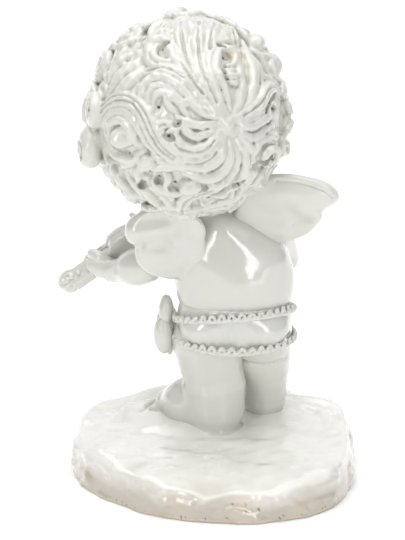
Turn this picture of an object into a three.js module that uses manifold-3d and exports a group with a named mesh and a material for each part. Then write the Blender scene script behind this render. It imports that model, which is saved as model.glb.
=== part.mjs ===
// A glazed cherub playing a small violin, cast in separate pieces and joined on an oval rock base.
// Millimetres, +Z up. The origin is on the underside of the felt pad, under the middle of the base.
// The cherub looks towards -Y, so its left side is +X. Touching pieces keep a joint gap.
import * as THREE from "three";
import { mergeVertices } from "three/addons/utils/BufferGeometryUtils.js";
import Module from "manifold-3d";

const wasm = await Module();
wasm.setup();

const DEG = Math.PI / 180;
const JOINT_GAP = 0.3;

// Driving dimensions of the base.
const PAD_THICKNESS = 1;
const BASE_LONG = 64.5;
const BASE_SHORT = 54;
const BASE_TURN = -45 * DEG;
const BASE_HEIGHT = 18.2;
const BASE_SLOPE = 0.04;
const BASE_SHOULDER = { angle: 219 * DEG, spread: 22 * DEG, out: 7 };
const PAD_INSET = 3;

// Joints of the figure, and the radius of the flesh round each.
const LEFT_LEG = [
  { at: [3, -7, 58], r: 14.5 },
  { at: [1.5, -8, 47], r: 13 },
  { at: [-1, -10, 33], r: 12 },
];
const LEFT_FOOT = [
  { at: [1, -10, 27.5], r: 10 },
  { at: [11, -16.5, 26.5], r: 9.5 },
  { at: [19, -24, 24], r: 6.2 },
];
const RIGHT_LEG = [
  { at: [-19, -13, 58], r: 13.5 },
  { at: [-21, -19, 46], r: 10.5 },
  { at: [-21, -25, 31], r: 8.5 },
];
const RIGHT_FOOT = [
  { at: [-21, -26, 27], r: 7.5 },
  { at: [-22, -37, 25], r: 6.5 },
  { at: [-22, -43, 24], r: 5 },
];
const LEFT_ARM = {
  shoulder: [13, -14, 105],
  elbow: [28, -10, 90],
  wrist: [42, -25, 82],
  r: [9, 7, 5.2],
};
const RIGHT_ARM = {
  shoulder: [-24, -17, 104],
  elbow: [-28.5, -30, 87],
  wrist: [-15, -45, 81.5],
  r: [9, 7, 5],
};

// The head's middle, and the way that the face looks.
const HEAD = new THREE.Vector3(10.8, -5, 157);
const HAIR_RADIUS = 43;
const SKULL_RADIUS = 36.5;
const FACE_YAW = 22 * DEG;
const WHORL = new THREE.Vector3(-0.35, 0.9, 0.25).normalize();
const LOCK_COUNT = 9;
const LOCK_DEPTH = 3;
const LOCK_SWIRL = 1.5;
// The fringe: curls on a ring round the face, from the right jaw over the forehead to the left jaw.
const CURL_COUNT = 9;
const CURL_RADIUS = 8.5;
const CURL_RING = 68 * DEG;
const CURL_FIRST = -112 * DEG;
const CURL_STEP = (224 * DEG) / (CURL_COUNT - 1);
// Curls behind, laid out on the ball in a frame that is tipped back: right, up (both as a share
// of the ball's radius, seen from behind) and the curl's own radius.
const CURL_TIP = 19.5 * DEG;
const BACK_CURLS = [
  [-0.27, 0.67, 9], [0.36, 0.59, 9], [-0.32, 0.05, 8.5], [-0.67, -0.24, 9.5],
  [0.83, -0.03, 8.5], [0.78, -0.45, 8], [-0.45, -0.64, 8.5], [-0.1, -0.7, 8],
  [0.25, -0.85, 8], [-0.92, 0.12, 8], [-0.92, -0.3, 7.5], [0.34, 0.88, 8],
];

// The violin: where its chin end lies, the way its neck runs and the way its top plate looks.
const VIOLIN_CHIN_END = new THREE.Vector3(14.2, -25.8, 111.2);
const VIOLIN_ALONG = new THREE.Vector3(0.765, -0.14, -0.605).normalize();
const VIOLIN_UP = new THREE.Vector3(0.253, -0.83, 0.497);
const VIOLIN_BODY = { length: 38, lower: 10.2, waist: 6.2, upper: 7.6, depth: 5.5 };
const NECK = { end: 49.5, width: 3.4, depth: 3 };
const PEGBOX = { end: 57.5, width: 5, depth: 7 };
const SCROLL = { at: 60, radius: 4.2, width: 6.6 };
const PEG = { radius: 0.85, length: 4.8, grip: 1.2, spacing: 2 };

const glaze = new THREE.MeshStandardMaterial({ color: 0xe9e7e0, roughness: 0.14, metalness: 0 });
const felt = new THREE.MeshStandardMaterial({ color: 0x6b6f62, roughness: 1, metalness: 0 });

// ---- geometry to solid and back ----

function toSolid(geometry, matrix = new THREE.Matrix4()) {
  const bare = new THREE.BufferGeometry();
  bare.setAttribute("position", geometry.getAttribute("position").clone());
  if (geometry.index) bare.setIndex(geometry.index.clone());
  bare.applyMatrix4(matrix);
  const merged = mergeVertices(bare, 1e-4);
  const mesh = new wasm.Mesh({
    numProp: 3,
    vertProperties: new Float32Array(merged.attributes.position.array),
    triVerts: new Uint32Array(merged.index.array),
  });
  return new wasm.Manifold(mesh);
}

function toGeometry(solid) {
  const { vertProperties, triVerts } = solid.getMesh();
  const geometry = new THREE.BufferGeometry();
  geometry.setAttribute("position", new THREE.BufferAttribute(new Float32Array(vertProperties), 3));
  geometry.setIndex(new THREE.BufferAttribute(new Uint32Array(triVerts), 1));
  geometry.computeVertexNormals();
  return geometry;
}

const joined = (solids) => solids.reduce((all, next) => all.add(next));

// Cuts the tools away and keeps the largest body that is left, without slivers.
function cutBy(solid, ...tools) {
  const left = tools.reduce((rest, tool) => rest.subtract(tool), solid);
  return left.decompose().reduce((best, next) => (next.volume() > best.volume() ? next : best));
}

function named(name, solid, material = glaze) {
  const mesh = new THREE.Mesh(toGeometry(solid), material.clone());
  mesh.name = name;
  return mesh;
}

// ---- rounded forms ----

function placed(at, quaternion = new THREE.Quaternion(), scale = [1, 1, 1]) {
  return new THREE.Matrix4().compose(new THREE.Vector3(...at), quaternion, new THREE.Vector3(...scale));
}

const turnAboutZ = (angle) => new THREE.Quaternion().setFromAxisAngle(new THREE.Vector3(0, 0, 1), angle);

function ellipsoid(at, radii, { turn, grow = 0, around = 16 } = {}) {
  const ball = new THREE.SphereGeometry(1, around, Math.round(around * 0.6));
  return toSolid(ball, placed(at, turn, radii.map((r) => r + grow)));
}

// A capsule with its own radius at each end, from a to b.
function limb(a, b, radiusA, radiusB, { grow = 0, around = 12 } = {}) {
  const start = new THREE.Vector3(...a);
  const along = new THREE.Vector3(...b).sub(start);
  const length = along.length();
  const arcSteps = 3;
  const profile = [];
  for (let i = 0; i <= arcSteps; i++) {
    const angle = (-90 + (90 * i) / arcSteps) * DEG;
    profile.push(new THREE.Vector2((radiusA + grow) * Math.cos(angle), (radiusA + grow) * Math.sin(angle)));
  }
  for (let i = 0; i <= arcSteps; i++) {
    const angle = ((90 * i) / arcSteps) * DEG;
    const r = radiusB + grow;
    profile.push(new THREE.Vector2(r * Math.cos(angle), length + r * Math.sin(angle)));
  }
  profile[0].x = 0;
  profile[profile.length - 1].x = 0;
  const turn = new THREE.Quaternion().setFromUnitVectors(new THREE.Vector3(0, 1, 0), along.normalize());
  return toSolid(new THREE.LatheGeometry(profile, around), placed(a, turn));
}

// A chain of capsules through joints, each { at, r }.
function chain(joints, options) {
  const pieces = joints.slice(1).map((to, i) => limb(joints[i].at, to.at, joints[i].r, to.r, options));
  return joined(pieces);
}

// ---- base ----

const baseTop = (y) => PAD_THICKNESS + BASE_HEIGHT - BASE_SLOPE * y;

// How far the base's outline is from its middle, in the direction of an angle.
function baseReach(towards) {
  const angle = (towards + 2 * Math.PI) % (2 * Math.PI);
  const local = angle - BASE_TURN;
  const across = Math.hypot(BASE_SHORT * Math.cos(local), BASE_LONG * Math.sin(local));
  const oval = (BASE_LONG * BASE_SHORT) / across;
  const fromShoulder = (angle - BASE_SHOULDER.angle) / BASE_SHOULDER.spread;
  const shoulder = BASE_SHOULDER.out * Math.exp(-(fromShoulder ** 2));
  return oval * (1 + 0.01 * Math.sin(5 * angle + 2)) + shoulder;
}

function baseOutline(inset, steps = 48) {
  const points = [];
  for (let i = 0; i < steps; i++) {
    const angle = (i / steps) * 2 * Math.PI;
    const reach = baseReach(angle) - inset;
    points.push(new THREE.Vector2(reach * Math.cos(angle), reach * Math.sin(angle)));
  }
  return new THREE.Shape(points);
}

function feltPad() {
  const sheet = { depth: PAD_THICKNESS, bevelEnabled: false };
  const pad = new THREE.ExtrudeGeometry(baseOutline(PAD_INSET), sheet);
  return named("felt_pad", toSolid(pad), felt);
}

// Share of the outline's reach against share of the height, from the underside's middle to the top's.
const BASE_PROFILE = [
  [0, 0], [0.97, 0], [0.99, 0.12], [0.98, 0.45], [0.955, 0.78],
  [0.9, 0.94], [0.8, 1], [0.6, 1], [0.35, 1], [0, 1],
];

function baseRock(...sockets) {
  const rock = new THREE.LatheGeometry(BASE_PROFILE.map(([x, y]) => new THREE.Vector2(x, y)), 48);
  rock.rotateX(Math.PI / 2);
  const position = rock.getAttribute("position");
  for (let i = 0; i < position.count; i++) {
    const angle = Math.atan2(position.getY(i), position.getX(i));
    const reach = baseReach(angle) * Math.hypot(position.getX(i), position.getY(i));
    const up = position.getZ(i);
    const rough = up > 0.05 && up < 0.97 ? 0.9 * Math.sin(7 * angle + 9 * up) : 0;
    const x = (reach + rough) * Math.cos(angle);
    const y = (reach + rough) * Math.sin(angle);
    const fold = up > 0.9 ? 0.7 * Math.sin(9 * angle + reach * 0.22) * Math.min(1, reach / 30) : 0;
    const z = PAD_THICKNESS + up * (baseTop(y) - PAD_THICKNESS) + fold;
    position.setXYZ(i, x, y, z);
  }
  return named("base_rock", cutBy(toSolid(rock), ...sockets));
}

// ---- body ----

// Profile of the cloth round the hips, as half-width against height, and its depth over its width.
const HIPS = {
  at: [-8.5, -8, 0],
  deep: 0.81,
  profile: [[22.4, 58.3], [23.8, 60.5], [24.2, 65], [24, 70], [23, 76], [18, 81]],
};

function torsoForm(grow = 0) {
  const belly = ellipsoid([-8.6, -9, 84], [25, 20, 26], { grow, around: 22 });
  const chest = ellipsoid([-2, -8.4, 96], [18.5, 16, 19], { grow, around: 20 });
  const neck = limb([1, -9, 105], [7, -8, 122], 9.6, 9.2, { grow });
  const shoulderBlade = limb([-4.3, -1, 107.4], [-22.2, -2.4, 95.6], 6.2, 6.4, { grow });
  const shoulders = limb([5, -13, 104], [-15, -15, 102], 7.5, 7.5, { grow });
  return joined([belly, chest, neck, shoulderBlade, shoulders]);
}

function hipForm(grow = 0) {
  const side = HIPS.profile.map(([r, z]) => new THREE.Vector2(r + grow, z));
  side[0].y -= grow;
  side[side.length - 1].y += grow;
  const points = [new THREE.Vector2(0, side[0].y), ...side, new THREE.Vector2(0, side[side.length - 1].y)];
  const barrel = new THREE.LatheGeometry(points, 24);
  barrel.rotateX(Math.PI / 2);
  return toSolid(barrel, placed(HIPS.at, undefined, [1, HIPS.deep, 1]));
}

const legForm = (leg, foot, grow) => joined([chain(leg, { grow }), chain(foot, { grow, around: 10 })]);
const leftLegForm = (grow = 0) => legForm(LEFT_LEG, LEFT_FOOT, grow);
const rightLegForm = (grow = 0) => legForm(RIGHT_LEG, RIGHT_FOOT, grow);

// A rope laid round the hips in a tilted oval: at, radii, tilt.
const WAIST_BRAID = { at: [-8.5, -8, 69.5], radii: [24.4, 20.2], tilt: [14 * DEG, 5 * DEG, 0] };
const HEM_BRAID = { at: [-8.5, -8, 59.8], radii: [24.5, 20.2], tilt: [1 * DEG, 0, 0] };
const ROPE_RADIUS = 1.7;

function braidForm({ at, radii, tilt }, grow = 0) {
  const rope = ROPE_RADIUS + grow;
  const ring = new THREE.TorusGeometry(2, 1, 6, 40);
  const position = ring.getAttribute("position");
  for (let i = 0; i < position.count; i++) {
    // The unit torus becomes an oval ring that keeps its round section.
    const angle = Math.atan2(position.getY(i), position.getX(i));
    const out = rope * (Math.hypot(position.getX(i), position.getY(i)) - 2);
    const x = (radii[0] + out) * Math.cos(angle);
    const y = (radii[1] + out) * Math.sin(angle);
    position.setXYZ(i, x, y, rope * position.getZ(i));
  }
  const turn = new THREE.Quaternion().setFromEuler(new THREE.Euler(...tilt));
  return toSolid(ring, placed(at, turn));
}

// ---- hip bow ----

// Name, middle and radii, in the order in which they overlap.
const HIP_BOW = [
  ["hip_bow_knot", [21.2, -13, 65.5], [2.9, 3, 3]],
  ["hip_bow_back_loop", [21.2, -7, 59.5], [3.8, 4.6, 7.8]],
  ["hip_bow_front_loop", [20, -10, 71], [3.4, 3.8, 6]],
  ["hip_bow_long_tail", [18.8, -18, 56], [2.2, 2.4, 8]],
  ["hip_bow_short_tail", [17.4, -21, 61.5], [2.2, 2.4, 6]],
];

function hipBow(...rooms) {
  const taken = [];
  return HIP_BOW.map(([name, at, radii]) => {
    const piece = cutBy(ellipsoid(at, radii, { around: 10 }), ...rooms, ...taken);
    taken.push(ellipsoid(at, radii, { around: 10, grow: JOINT_GAP }));
    return named(name, piece);
  });
}

// ---- arms and hands ----

const upperArm = (arm, grow) => limb(arm.shoulder, arm.elbow, arm.r[0], arm.r[1], { grow });
const forearm = (arm, grow) => limb(arm.elbow, arm.wrist, arm.r[1], arm.r[2], { grow });
const leftUpperArm = (grow = 0) => upperArm(LEFT_ARM, grow);
const leftForearm = (grow = 0) => forearm(LEFT_ARM, grow);
const rightUpperArm = (grow = 0) => upperArm(RIGHT_ARM, grow);
const rightForearm = (grow = 0) => forearm(RIGHT_ARM, grow);

// ---- wings ----

// A wing's outline seen from behind, with the root towards the spine: across (+X) and up.
const LEFT_WING = {
  y: 7,
  lean: -5 * DEG,
  outline: [
    [2, 96], [1.5, 112], [9, 121], [20, 123], [29, 120], [35.6, 114.6], [37, 109.5], [33, 103],
    [33, 98], [31.6, 94], [27, 89.8], [16.5, 86.8], [8.8, 87.8],
  ],
};
const RIGHT_WING = {
  y: -6,
  lean: 3 * DEG,
  outline: [
    [-8, 110], [-11, 124], [-20, 132], [-30, 134], [-38, 133], [-45, 131], [-51.8, 124.6],
    [-45.4, 117.6], [-42.6, 110.2], [-38.6, 105.8], [-32, 102.4], [-24, 100.4], [-14, 101],
  ],
};
const WING_THICKNESS = 6;

function wingForm({ y, lean, outline }) {
  const bevel = 2;
  const corners = outline.map(([x, z]) => new THREE.Vector3(x, -z, 0));
  const edge = new THREE.CatmullRomCurve3(corners, true).getPoints(28).slice(0, -1);
  const shape = new THREE.Shape(edge.map((p) => new THREE.Vector2(p.x, p.y)));
  const plate = new THREE.ExtrudeGeometry(shape, {
    depth: WING_THICKNESS - 2 * bevel,
    bevelEnabled: true,
    bevelThickness: bevel,
    bevelSize: 1.6,
    bevelOffset: -1.6,
    bevelSegments: 2,
  });
  plate.translate(0, 0, bevel - WING_THICKNESS / 2);
  plate.rotateX(-Math.PI / 2);
  const turn = turnAboutZ(lean);
  return toSolid(plate, placed([0, y, 0], turn));
}

// ---- head ----

const faceTurn = turnAboutZ(FACE_YAW);
const onHead = (x, y, z) => new THREE.Vector3(x, y, z).applyQuaternion(faceTurn).add(HEAD).toArray();

// Features of the face, as offsets in the head's own frame, with radii.
const FEATURES = [
  [[-14, -27, -17], [9, 8, 8.5]],
  [[14, -27, -17], [9, 8, 8.5]],
  [[0, -37.5, -11], [3.4, 4, 3.2]],
  [[-2.9, -35.3, -12], [2, 2.2, 1.8]],
  [[2.9, -35.3, -12], [2, 2.2, 1.8]],
  [[-12, -32.2, -3.5], [5.6, 3.4, 3.6]],
  [[12, -32.2, -3.5], [5.6, 3.4, 3.6]],
  [[0, -35, -19.3], [4.6, 2.4, 1.5]],
  [[0, -34.6, -21.6], [3.6, 2.4, 1.6]],
  [[0, -30, -30], [6.5, 5, 5]],
];

function headForm(grow = 0) {
  const round = [SKULL_RADIUS, SKULL_RADIUS, SKULL_RADIUS];
  const skull = ellipsoid(HEAD.toArray(), round, { grow, around: 20, turn: faceTurn });
  const jaw = ellipsoid(onHead(0, -13, -18), [25, 22.5, 20.5], { grow, around: 16, turn: faceTurn });
  return joined([skull, jaw]);
}

function head(...rooms) {
  const look = { around: 8, turn: faceTurn };
  const features = FEATURES.map(([at, radii]) => ellipsoid(onHead(...at), radii, look));
  return named("head", cutBy(joined([headForm(), ...features]), ...rooms));
}

// A ball whose pole is the whorl, with locks that curve away from it in an S.
function hairBall(grow = 0) {
  const ball = new THREE.SphereGeometry(1, 4 * LOCK_COUNT, 15);
  const position = ball.getAttribute("position");
  for (let i = 0; i < position.count; i++) {
    const p = new THREE.Vector3().fromBufferAttribute(position, i);
    const away = Math.acos(THREE.MathUtils.clamp(p.y, -1, 1));
    const round = Math.atan2(p.z, p.x);
    const swirl = LOCK_SWIRL * Math.sin(1.4 * away);
    const depth = LOCK_DEPTH * Math.min(1, away / 0.5) * Math.min(1, (Math.PI - away) / 0.5);
    const lock = Math.abs(Math.sin((LOCK_COUNT / 2) * (round + swirl)));
    p.multiplyScalar(HAIR_RADIUS - LOCK_DEPTH * 0.8 + depth * lock + grow);
    position.setXYZ(i, p.x, p.y, p.z);
  }
  const turn = new THREE.Quaternion().setFromUnitVectors(new THREE.Vector3(0, 1, 0), WHORL);
  return toSolid(ball, placed(HEAD.toArray(), turn));
}

function hairCap(...cutters) {
  const faceOpening = ellipsoid(onHead(0, -36, -15), [27, 32, 33], { around: 16, turn: faceTurn });
  return cutBy(hairBall(), faceOpening, ...cutters);
}

// A curl is a thick round lens let into the cap, with a dimple in its middle.
function curlForm(out, radius, grow = 0) {
  const at = HEAD.clone().addScaledVector(out, HAIR_RADIUS - 1.4);
  const turn = new THREE.Quaternion().setFromUnitVectors(new THREE.Vector3(0, 0, 1), out);
  return ellipsoid(at.toArray(), [radius, radius, 4.2], { turn, grow, around: 9 });
}

function curlHole(out) {
  const at = HEAD.clone().addScaledVector(out, HAIR_RADIUS + 2.8);
  return ellipsoid(at.toArray(), [2.4, 2.4, 2.4], { around: 6 });
}

// Which way each curl points from the head's middle, with its radius.
function curlPlaces() {
  const places = [];
  for (let i = 0; i < CURL_COUNT; i++) {
    const around = CURL_FIRST + i * CURL_STEP;
    const side = Math.sin(CURL_RING) * Math.sin(around);
    const up = Math.sin(CURL_RING) * Math.cos(around);
    const out = new THREE.Vector3(side, -Math.cos(CURL_RING), up).applyQuaternion(faceTurn);
    places.push([out, CURL_RADIUS]);
  }
  for (const [right, up, radius] of BACK_CURLS) {
    const back = Math.sqrt(1 - right * right - up * up);
    const out = new THREE.Vector3(-right, back, up).applyAxisAngle(new THREE.Vector3(1, 0, 0), CURL_TIP);
    places.push([out, radius]);
  }
  return places;
}

// ---- violin and bow ----

const violinSide = new THREE.Vector3().crossVectors(VIOLIN_UP, VIOLIN_ALONG).normalize();
const violinUp = new THREE.Vector3().crossVectors(VIOLIN_ALONG, violinSide).normalize();
const violinBasis = new THREE.Matrix4()
  .makeBasis(VIOLIN_ALONG, violinSide, violinUp)
  .setPosition(VIOLIN_CHIN_END);

function violinOutline() {
  const { length, lower, waist, upper } = VIOLIN_BODY;
  const half = new THREE.SplineCurve([
    new THREE.Vector2(0, 0),
    new THREE.Vector2(0.6, lower * 0.6),
    new THREE.Vector2(length * 0.2, lower),
    new THREE.Vector2(length * 0.4, lower * 0.82),
    new THREE.Vector2(length * 0.55, waist),
    new THREE.Vector2(length * 0.7, upper * 0.92),
    new THREE.Vector2(length * 0.85, upper),
    new THREE.Vector2(length * 0.98, upper * 0.5),
    new THREE.Vector2(length, 0),
  ]);
  const side = half.getPoints(14);
  const other = side.slice(1, -1).map((p) => new THREE.Vector2(p.x, -p.y)).reverse();
  return new THREE.Shape([...side, ...other]);
}

function violinBody() {
  const bevel = 0.8;
  const body = new THREE.ExtrudeGeometry(violinOutline(), {
    depth: VIOLIN_BODY.depth - 2 * bevel,
    bevelEnabled: true,
    bevelThickness: bevel,
    bevelSize: bevel,
    bevelOffset: -bevel,
    bevelSegments: 2,
  });
  body.translate(0, 0, bevel - VIOLIN_BODY.depth / 2);
  return body;
}

// A block along x that tapers in width, from z0 up to z1.
function block(x0, x1, width, z0, z1, widthEnd = width) {
  const box = new THREE.BoxGeometry(x1 - x0, 1, z1 - z0);
  box.translate((x0 + x1) / 2, 0, (z0 + z1) / 2);
  const position = box.getAttribute("position");
  for (let i = 0; i < position.count; i++) {
    const share = (position.getX(i) - x0) / (x1 - x0);
    position.setY(i, position.getY(i) * (width + (widthEnd - width) * share));
  }
  return box;
}

const TOP = VIOLIN_BODY.depth / 2;

function scrollForm() {
  const bottom = TOP - PEGBOX.depth;
  const start = NECK.end + JOINT_GAP;
  const pegbox = block(start, PEGBOX.end, PEGBOX.width, bottom, TOP + 0.3, PEGBOX.width - 0.6);
  const volute = new THREE.CylinderGeometry(SCROLL.radius, SCROLL.radius, SCROLL.width - 2, 16);
  const eye = new THREE.CylinderGeometry(SCROLL.radius * 0.55, SCROLL.radius * 0.55, SCROLL.width, 10);
  const centre = placed([SCROLL.at, 0, TOP - 3.2]);
  return joined([toSolid(pegbox), toSolid(volute, centre), toSolid(eye, centre)]);
}

function violin() {
  const group = new THREE.Group();
  group.applyMatrix4(violinBasis);
  group.updateMatrix();
  group.add(named("violin_body", toSolid(violinBody())));
  const neck = block(VIOLIN_BODY.length + JOINT_GAP, NECK.end, NECK.width, TOP - NECK.depth, TOP);
  group.add(named("violin_neck", toSolid(neck)));
  const board = block(VIOLIN_BODY.length * 0.65, NECK.end, 4, TOP + JOINT_GAP, TOP + JOINT_GAP + 1, 3);
  group.add(named("violin_fingerboard", toSolid(board)));
  const bridge = block(18, 18.9, 6.4, TOP + JOINT_GAP, TOP + 2.9);
  group.add(named("violin_bridge", toSolid(bridge)));
  const tailpiece = block(5, 15, 2.2, TOP + JOINT_GAP, TOP + 1.7, 4.4);
  group.add(named("violin_tailpiece", toSolid(tailpiece)));
  let head = scrollForm();
  for (let i = 0; i < 4; i++) {
    const side = i % 2 ? 1 : -1;
    const at = [NECK.end + 1.4 + i * PEG.spacing, (side * PEG.length) / 2, TOP - 4.6];
    const peg = new THREE.CylinderGeometry(PEG.radius, PEG.radius * 0.8, PEG.length - 3, 6);
    const holeRadius = PEG.radius + JOINT_GAP;
    const hole = new THREE.CylinderGeometry(holeRadius, holeRadius, PEG.length - 2.4, 8);
    const knob = placed([0, side * PEG.grip, 0], undefined, [0.95, 1.2, 1.1]);
    const grip = toSolid(new THREE.SphereGeometry(1, 7, 5), knob);
    head = head.subtract(toSolid(hole, placed(at)));
    const mesh = named("violin_peg_" + (i + 1), joined([toSolid(peg), grip]));
    mesh.position.set(...at);
    group.add(mesh);
  }
  group.add(named("violin_scroll", head));
  return group;
}

const BOW = { strings: 21.5, height: TOP + 3.9, length: 54, past: 2.5 };
const bowAlong = new THREE.Vector3(-0.286, -0.953, -0.05).normalize();

function bow() {
  const group = new THREE.Group();
  const start = new THREE.Vector3(BOW.strings, 0, BOW.height).addScaledVector(bowAlong, -BOW.past);
  const across = new THREE.Vector3(0, 0, 1).cross(bowAlong);
  const up = new THREE.Vector3(0, 0, 1);
  const local = new THREE.Matrix4().makeBasis(bowAlong, across, up).setPosition(start);
  group.applyMatrix4(violinBasis.clone().multiply(local));
  group.updateMatrix();
  const rod = new THREE.CylinderGeometry(0.8, 0.9, BOW.length, 10);
  const stick = toSolid(rod, placed([BOW.length / 2, 0, 2.4], turnAboutZ(90 * DEG)));
  const tip = toSolid(block(0, 2.2, 1.6, -0.4, 2.6));
  group.add(named("bow_stick", stick.add(tip)));
  group.add(named("bow_hair", toSolid(block(2.2 + JOINT_GAP, BOW.length - 6, 1.4, -0.3, 0.3))));
  group.add(named("bow_frog", toSolid(block(BOW.length - 5.7, BOW.length - 1, 1.8, -0.7, 1.2))));
  return group;
}

function handForm(wrist, palm, fingers, palmRadius, grow = 0) {
  const heel = limb(wrist, palm, palmRadius * 0.95, palmRadius, { grow, around: 12 });
  const grip = limb(palm, fingers, palmRadius, palmRadius * 0.8, { grow, around: 12 });
  return heel.add(grip);
}

// ---- assembly ----

const figure = new THREE.Group();
figure.name = "cherub_with_violin";

const torsoRoom = torsoForm(JOINT_GAP);
const hipRoom = hipForm(JOINT_GAP);
const leftLegRoom = leftLegForm(JOINT_GAP);
const rightLegRoom = rightLegForm(JOINT_GAP);
const trunkRooms = [hipRoom, torsoRoom, leftLegRoom, rightLegRoom];

figure.add(feltPad());
figure.add(baseRock(leftLegRoom, rightLegRoom));
figure.add(named("torso", cutBy(torsoForm(), hipRoom)));
figure.add(named("loincloth", hipForm()));
figure.add(named("left_leg", cutBy(leftLegForm(), hipRoom, torsoRoom)));
figure.add(named("right_leg", cutBy(rightLegForm(), hipRoom, torsoRoom, leftLegRoom)));
figure.add(named("waist_braid", cutBy(braidForm(WAIST_BRAID), ...trunkRooms)));
figure.add(named("hem_braid", cutBy(braidForm(HEM_BRAID), ...trunkRooms)));
const braidRooms = [braidForm(WAIST_BRAID, JOINT_GAP), braidForm(HEM_BRAID, JOINT_GAP)];
figure.add(...hipBow(...trunkRooms, ...braidRooms));

const leftWing = wingForm(LEFT_WING);
const rightWing = wingForm(RIGHT_WING);
const places = curlPlaces();
const curlRooms = places.map(([out, radius]) => curlForm(out, radius, JOINT_GAP));
const hairRoom = joined([hairBall(JOINT_GAP), ...curlRooms]);
const armRooms = [leftUpperArm(JOINT_GAP), rightUpperArm(JOINT_GAP), leftForearm(JOINT_GAP)];
figure.add(named("left_wing", cutBy(leftWing, hairRoom, torsoRoom, ...armRooms)));
figure.add(named("right_wing", cutBy(rightWing, hairRoom, torsoRoom, ...armRooms)));

const headRoom = headForm(JOINT_GAP);
figure.add(head(torsoRoom));
figure.add(named("hair_cap", hairCap(headRoom, torsoRoom, ...curlRooms)));
places.forEach(([out, radius], i) => {
  const curl = cutBy(curlForm(out, radius), curlHole(out), headRoom, torsoRoom, ...curlRooms.slice(0, i));
  figure.add(named("hair_curl_" + (i + 1), curl));
});

const violinGroup = violin();
const bowGroup = bow();
figure.add(violinGroup);
figure.add(bowGroup);

// Room that the arms and hands leave for the violin and the bow.
const { length, lower } = VIOLIN_BODY;
const bodyBlock = block(-0.5, length + 0.5, 2 * lower + 0.6, -TOP - 0.4, TOP + 0.4);
const violinRoom = toSolid(bodyBlock, violinGroup.matrix);
const neckWidth = NECK.width + 1.2;
const neckBlock = block(length, PEGBOX.end, neckWidth, TOP - NECK.depth - 0.5, TOP + 1.8);
const neckRoom = toSolid(neckBlock, violinGroup.matrix);
const bowRoom = toSolid(block(-1, BOW.length + 1, 2.6, -1.1, 3.8), bowGroup.matrix);

const upperRooms = [torsoRoom, hairRoom, leftForearm(JOINT_GAP), violinRoom];
figure.add(named("left_upper_arm", cutBy(leftUpperArm(), ...upperRooms)));
figure.add(named("left_forearm", cutBy(leftForearm(), violinRoom, neckRoom)));
const elbowRoom = rightForearm(JOINT_GAP);
figure.add(named("right_upper_arm", cutBy(rightUpperArm(), torsoRoom, hairRoom, elbowRoom)));
figure.add(named("right_forearm", cutBy(rightForearm(), torsoRoom, violinRoom, bowRoom)));

const leftHand = handForm(LEFT_ARM.wrist, [46, -27.5, 82.5], [50, -32, 86.5], 4.8);
figure.add(named("left_hand", cutBy(leftHand, leftForearm(JOINT_GAP), violinRoom, neckRoom)));
const bowGrip = new THREE.Vector3(BOW.length - 3, 0, 1).applyMatrix4(bowGroup.matrix).toArray();
const palm = RIGHT_ARM.wrist.map((v, i) => v + (bowGrip[i] - v) * 0.45);
const rightHand = handForm(RIGHT_ARM.wrist, palm, bowGrip, 4.6);
figure.add(named("right_hand", cutBy(rightHand, rightForearm(JOINT_GAP), violinRoom, bowRoom)));

export default figure;
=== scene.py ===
import math
import bpy
import numpy as np
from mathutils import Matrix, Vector


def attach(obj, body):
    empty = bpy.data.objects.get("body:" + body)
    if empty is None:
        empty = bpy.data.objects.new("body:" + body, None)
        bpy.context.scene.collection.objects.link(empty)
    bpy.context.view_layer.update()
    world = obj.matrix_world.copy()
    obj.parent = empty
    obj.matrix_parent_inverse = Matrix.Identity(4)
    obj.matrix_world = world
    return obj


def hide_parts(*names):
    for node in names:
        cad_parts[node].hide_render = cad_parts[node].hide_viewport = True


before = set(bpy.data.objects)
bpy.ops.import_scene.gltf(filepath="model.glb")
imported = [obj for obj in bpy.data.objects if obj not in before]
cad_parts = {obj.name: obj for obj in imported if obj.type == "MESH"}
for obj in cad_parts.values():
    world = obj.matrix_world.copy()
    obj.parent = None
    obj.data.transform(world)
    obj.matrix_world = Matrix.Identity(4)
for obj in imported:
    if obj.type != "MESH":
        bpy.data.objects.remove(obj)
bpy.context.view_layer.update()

MM = 0.001
COARSE = 1.0
FAR = 30.0
PAD = 2.6
rng = np.random.RandomState(7)


def vec(*v):
    return np.array(v, float)


def unit(v):
    v = np.asarray(v, float)
    return v / np.linalg.norm(v)


def turned(axis, degrees):
    """Rotation matrix about an axis."""
    a = unit(axis)
    c, s = math.cos(math.radians(degrees)), math.sin(math.radians(degrees))
    k = np.array([[0, -a[2], a[1]], [a[2], 0, -a[0]], [-a[1], a[0], 0]])
    return np.eye(3) * c + s * k + (1 - c) * np.outer(a, a)


# ---- forms: each is (distance function, lowest corner, highest corner) ----

def into(x, y, z, c, turn):
    """The place seen from c, along the columns of turn."""
    x, y, z = x - c[0], y - c[1], z - c[2]
    if turn is None:
        return x, y, z
    return tuple(turn[0, i] * x + turn[1, i] * y + turn[2, i] * z for i in range(3))


def egg(c, r, turn=None):
    """Ellipsoid. turn's columns are its own axes."""
    c, r = np.asarray(c, float), np.asarray(r, float)

    def distance(x, y, z):
        x, y, z = into(x, y, z, c, turn)
        near = np.sqrt((x / r[0]) ** 2 + (y / r[1]) ** 2 + (z / r[2]) ** 2)
        slope = np.sqrt((x / r[0] ** 2) ** 2 + (y / r[1] ** 2) ** 2 + (z / r[2] ** 2) ** 2)
        return near * (near - 1) / np.maximum(slope, 1e-5)
    return distance, c - r.max(), c + r.max()


def ball(c, r):
    c = np.asarray(c, float)
    return (lambda x, y, z: np.sqrt((x - c[0]) ** 2 + (y - c[1]) ** 2 + (z - c[2]) ** 2) - r), c - r, c + r


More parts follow.
